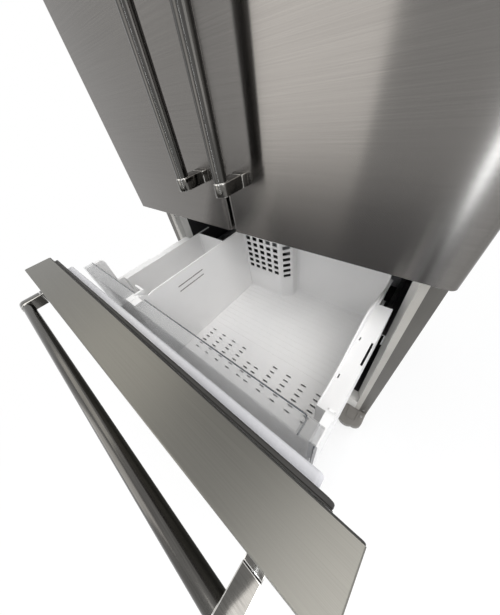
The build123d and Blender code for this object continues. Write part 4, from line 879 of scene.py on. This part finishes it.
# %% Painted shade on the edges of the smoked front
GAP = (-0.118, -0.070)
NOTCH_X, NOTCH_DROP = 0.3585, 0.0225
clear_low, clear_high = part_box("clear_front")
inner, outer, top = clear_high.y, clear_low.y + 0.0006, clear_high.z - 0.0012
left, right = clear_low.x + 0.001, clear_high.x - 0.001
notch = top - NOTCH_DROP
edge_lines = [
    [(left, inner, top), (GAP[0], inner, top)],
    [(GAP[1], inner, top), (NOTCH_X, inner, top), (NOTCH_X, inner, notch),
     (NOTCH_X, deep(-282), notch)],
    [(right, outer, top), (right, outer, low(224))],
]
bead("clear_front_edge_shade", edge_shade_bead, edge_lines, "basket", "smoked_clear",
     Radius=0.0013, Corner=0.002)

# %% [markdown]
# The feet's covers carry a raised loop round the opening for the levelling key, and a bright
# ring closes each handle tube where it enters its bracket.

# %% Loops on the foot covers and rings on the tubes
LOOP = ((392, 77), (392, 31), (430, 31), (430, 77))
RING_RADIUS, RING_SIDES = 0.0129, 32
cover_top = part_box("foot_covers")[1].z
loops = [[(side * x * MM, deep(y), cover_top + 0.0002) for x, y in LOOP] for side in (-1, 1)]
bead("foot_cover_loops", cover_bead, loops, "cabinet", "cover_plastic",
     Radius=0.0016, Corner=0.009)


def circle_path(centre, axis):
    """Points of a ring round one of the axes."""
    points = []
    for i in range(RING_SIDES):
        angle = 2 * math.pi * i / RING_SIDES
        first, second = RING_RADIUS * math.cos(angle), RING_RADIUS * math.sin(angle)
        offset = {"X": (0, first, second), "Z": (first, second, 0)}[axis]
        points.append(tuple(c + o for c, o in zip(centre, offset)))
    return points


def tube_rings(node, body, axis):
    """A ring at each end of a handle's tube."""
    end_low, end_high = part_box(node)
    centre = (end_low + end_high) / 2
    ends = []
    for value in (end_low, end_high):
        place = centre.copy()
        setattr(place, axis.lower(), getattr(value, axis.lower()))
        ends.append(circle_path(place, axis))
    bead(node + "_rings", rim_bead, ends, body, "handle_steel", closed=True,
         Radius=0.0007, Corner=0.0)


tube_rings("left_door_handle", "left_door", "Z")
tube_rings("right_door_handle", "right_door", "Z")
tube_rings("drawer_handle", "drawer", "X")

# %% [markdown]
# Inside the doors and on the shelves, each clear bin has a white rail round its top, and each
# shelf a white bar along its front. They only show when the doors stand open.

# %% Rails of the bins and bars of the shelves
BINS = ((852, 130), (1150, 105), (1440, 105))
BIN_OUTLINE = ((69.5, 98), (69.5, 173.5), (383.5, 173.5), (383.5, 98))
for side, word in ((-1, "left"), (1, "right")):
    rails = [[(side * x * MM, deep(y), (floor_z + height) * MM) for x, y in BIN_OUTLINE]
             for floor_z, height in BINS]
    bead(word + "_bin_rails", white_bead, rails, word + "_door", "bin_white",
         Radius=0.0024, Corner=0.012)
BAR_FRONT, BAR_END, BAR_GAP = deep(219), 0.401, 0.008
bars = []
for shelf in (1.210, 1.450):
    z = shelf + 0.001
    bars += [[(side * BAR_GAP, BAR_FRONT, z), (side * BAR_END, BAR_FRONT, z)] for side in (-1, 1)]
bars.append([(-BAR_END, BAR_FRONT, 1.013), (BAR_END, BAR_FRONT, 1.013)])
bead("shelf_bars", white_bead, bars, "cabinet", "liner_white", Radius=0.0042, Corner=0.001)

# %% [markdown]
# Every screw is the same small solid: a cylinder whose top is drawn in to a rounded edge and then
# pushed down as a socket. Instance on Points puts one on each point and turns it to face the
# stored direction. A seeded random turn keeps the sockets from lining up.

# %% Screw tree
HEAD_SIDES, SCREW_SEED = 18, 7
PROFILE = ((0.25, 0.86), (0.0, 0.52), (-0.8, 0.96))


def screw_tree(name, material):
    """Screw heads on points; the profile is rise, in head heights, and shrink of each step."""
    tree, inputs = start_tree(name, Radius=0.004, Height=0.0018)
    head = tree.nodes.new("GeometryNodeMeshCylinder")
    head.inputs["Vertices"].default_value = HEAD_SIDES
    tree.links.new(inputs["Radius"], head.inputs["Radius"])
    tree.links.new(inputs["Height"], head.inputs["Depth"])
    mesh, top = head.outputs["Mesh"], head.outputs["Top"]
    for rise, shrink in PROFILE:
        push = tree.nodes.new("GeometryNodeExtrudeMesh")
        push.mode = "FACES"
        amount = add_node(tree, "ShaderNodeMath", operation="MULTIPLY")
        amount.inputs[1].default_value = rise
        tree.links.new(inputs["Height"], amount.inputs[0])
        tree.links.new(amount.outputs[0], push.inputs["Offset Scale"])
        tree.links.new(mesh, push.inputs["Mesh"])
        tree.links.new(top, push.inputs["Selection"])
        narrow = tree.nodes.new("GeometryNodeScaleElements")
        narrow.inputs["Scale"].default_value = shrink
        tree.links.new(push.outputs["Mesh"], narrow.inputs["Geometry"])
        tree.links.new(push.outputs["Top"], narrow.inputs["Selection"])
        mesh, top = narrow.outputs["Geometry"], push.outputs["Top"]
    facing = tree.nodes.new("GeometryNodeInputNamedAttribute")
    facing.data_type = "FLOAT_VECTOR"
    facing.inputs["Name"].default_value = "facing"
    aim = tree.nodes.new("FunctionNodeAlignRotationToVector")
    tree.links.new(facing.outputs["Attribute"], aim.inputs["Vector"])
    place = tree.nodes.new("GeometryNodeInstanceOnPoints")
    tree.links.new(inputs["Geometry"], place.inputs["Points"])
    tree.links.new(mesh, place.inputs["Instance"])
    tree.links.new(aim.outputs["Rotation"], place.inputs["Rotation"])
    chance = tree.nodes.new("FunctionNodeRandomValue")
    chance.data_type = "FLOAT_VECTOR"
    chance.inputs["Min"].default_value = (0, 0, 0)
    chance.inputs["Max"].default_value = (0, 0, math.pi)
    chance.inputs["Seed"].default_value = SCREW_SEED
    spin = tree.nodes.new("GeometryNodeRotateInstances")
    tree.links.new(place.outputs["Instances"], spin.inputs["Instances"])
    tree.links.new(chance.outputs["Value"], spin.inputs["Rotation"])
    end_tree(tree, spin.outputs["Instances"], material)
    return tree


zinc_screw = screw_tree("zinc_screw", zinc_steel)
print("screw tree", len(zinc_screw.nodes), "nodes")

# %% [markdown]
# Rows of screws close the back, and more sit in the base, the middle hinges, the covers and the
# slides. Both sides are alike, so a place is written once, by its distance from the middle.

# %% Screws of the cabinet
BACKWARDS, FORWARDS, UPWARDS, DOWNWARDS = (0, 1, 0), (0, -1, 0), (0, 0, 1), (0, 0, -1)
SIDE_ROW = (0.075, 0.238, 0.30, 0.54, 0.78, 1.02, 1.26, 1.50, 1.70)
cover_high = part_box("hinge_covers")[1].z
cabinet_places = []
for side in (-1, 1):
    cabinet_places += [((side * 0.4455, CABINET_BACK, z), BACKWARDS) for z in SIDE_ROW]
    cabinet_places += [((side * x, CABINET_BACK, z), BACKWARDS)
                       for x in (0.10, 0.32) for z in (0.068, 0.246, 1.736)]
    cabinet_places.append(((side * 0.4415, CABINET_FRONT, 0.074), FORWARDS))
    cabinet_places.append(((side * 0.442, CABINET_FRONT - 0.003, low(18)), FORWARDS))
    cabinet_places.append(((side * 0.410, deep(90), cover_high), UPWARDS))
    cabinet_places.append(((side * 0.444, deep(62), cover_top), UPWARDS))
    cabinet_places += [((side * 0.394, deep(y), low(322)), (-side, 0, 0))
                       for y in (170, 300, 430, 540)]
studs("cabinet_screws", zinc_screw, cabinet_places, "cabinet", "zinc_steel",
      Radius=0.0042, Height=0.0018)

# %% Screws of the drawer and set screws of the handles
HANDLE_X, DRAWER_HANDLE_Z = 0.058, low(82)
flange = drawer_high.y + 0.0025
drawer_places = [((side * 0.3705, flange + 0.003, low(drop)), BACKWARDS)
                 for side in (-1, 1) for drop in (190, 250, 310)]
studs("drawer_screws", zinc_screw, drawer_places, "drawer", "zinc_steel",
      Radius=0.0036, Height=0.0016)
for side, word in ((-1, "left"), (1, "right")):
    bracket_low, bracket_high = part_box(word + "_door_brackets")
    ends = [((side * HANDLE_X, DOOR_FACE - STANDOFF, bracket_low.z), DOWNWARDS),
            ((side * HANDLE_X, DOOR_FACE - STANDOFF, bracket_high.z), UPWARDS)]
    studs(word + "_set_screws", zinc_screw, ends, word + "_door", "bracket_steel",
          Radius=0.0030, Height=0.0008)
bracket_low, bracket_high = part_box("drawer_handle_brackets")
ends = [((bracket_low.x, DRAWER_FACE - STANDOFF, DRAWER_HANDLE_Z), (-1, 0, 0)),
        ((bracket_high.x, DRAWER_FACE - STANDOFF, DRAWER_HANDLE_Z), (1, 0, 0))]
studs("drawer_set_screws", zinc_screw, ends, "drawer", "bracket_steel",
      Radius=0.0030, Height=0.0008)

# %% [markdown]
# The slides run on steel balls in a cage. A ball needs few faces, because there are many.

# %% Balls of the slides
BALL_X, BALL_PITCH, BALLS_IN_ROW = 0.3699, 0.009, 18
RACE_INSET, FIRST_BALL = 0.0056, 0.02
ball_tree, inputs = start_tree("slide_ball", Radius=0.0016)
ball = ball_tree.nodes.new("GeometryNodeMeshIcoSphere")
ball.inputs["Subdivisions"].default_value = 2
ball_tree.links.new(inputs["Radius"], ball.inputs["Radius"])
copies = ball_tree.nodes.new("GeometryNodeInstanceOnPoints")
ball_tree.links.new(inputs["Geometry"], copies.inputs["Points"])
ball_tree.links.new(ball.outputs["Mesh"], copies.inputs["Instance"])
end_tree(ball_tree, copies.outputs["Instances"], zinc_steel)
rail_low, rail_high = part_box("mid_rails")
ball_places = []
for side in (-1, 1):
    for z in (rail_low.z + RACE_INSET, rail_high.z - RACE_INSET):
        ball_places += [((side * BALL_X, rail_low.y + FIRST_BALL + BALL_PITCH * i, z), UPWARDS)
                        for i in range(BALLS_IN_ROW)]
studs("slide_balls", ball_tree, ball_places, "mid_rails", "zinc_steel", Radius=0.0016)

# %% [markdown]
# In the ceiling of the upper compartment sits a frosted lamp lens with fine ribs, and in front of
# it a row of touch points. The ribs are a bar that Mesh Line and Instance on Points repeat.

# %% Lamp lens
RIBS, RIB_SIDES, RIB_FLATNESS = 33, 10, 0.25
FIRST_RIB_X, LENS_MIDDLE, LENS_RISE = -0.1152, deep(345), 0.0013
lens_plastic = plastic("lens_plastic", (0.84, 0.85, 0.86), (0.88, 0.89, 0.90), (0.35, 0.5),
                       300, 0.00003, 0.1, Transmission_Weight=0.3)
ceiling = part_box("control_panel")[0].z
rib_tree, inputs = start_tree("lens_ribs", Width=0.0036, Length=0.108, Pitch=0.0072)
row = rib_tree.nodes.new("GeometryNodeMeshLine")
row.inputs["Count"].default_value = RIBS
pitch = rib_tree.nodes.new("ShaderNodeCombineXYZ")
rib_tree.links.new(inputs["Pitch"], pitch.inputs["X"])
rib_tree.links.new(pitch.outputs[0], row.inputs["Offset"])
bar = rib_tree.nodes.new("GeometryNodeMeshCylinder")
bar.inputs["Vertices"].default_value = RIB_SIDES
rib_tree.links.new(inputs["Width"], bar.inputs["Radius"])
rib_tree.links.new(inputs["Length"], bar.inputs["Depth"])
lay = rib_tree.nodes.new("GeometryNodeTransform")
lay.inputs["Rotation"].default_value = (math.pi / 2, 0, 0)
flat = rib_tree.nodes.new("GeometryNodeTransform")
flat.inputs["Scale"].default_value = (1, 1, RIB_FLATNESS)
rib = chain(rib_tree, bar.outputs["Mesh"], lay, flat)
copies = rib_tree.nodes.new("GeometryNodeInstanceOnPoints")
rib_tree.links.new(rib, copies.inputs["Instance"])
shift = rib_tree.nodes.new("GeometryNodeTransform")
shift.inputs["Translation"].default_value = (FIRST_RIB_X, LENS_MIDDLE, ceiling + LENS_RISE)
end_tree(rib_tree, chain(rib_tree, row.outputs["Mesh"], copies, shift), lens_plastic)
studs("lamp_lens", rib_tree, [((0, 0, 0), UPWARDS)], "cabinet", "liner_white")

# %% Touch points
touch = screw_tree("touch_point", black_plastic)
touch_places = [((x * MM, deep(240), ceiling), DOWNWARDS) for x in (-75, -45, -15, 15, 45, 75)]
studs("touch_points", touch, touch_places, "cabinet", "black_plastic",
      Radius=0.004, Height=0.0006)
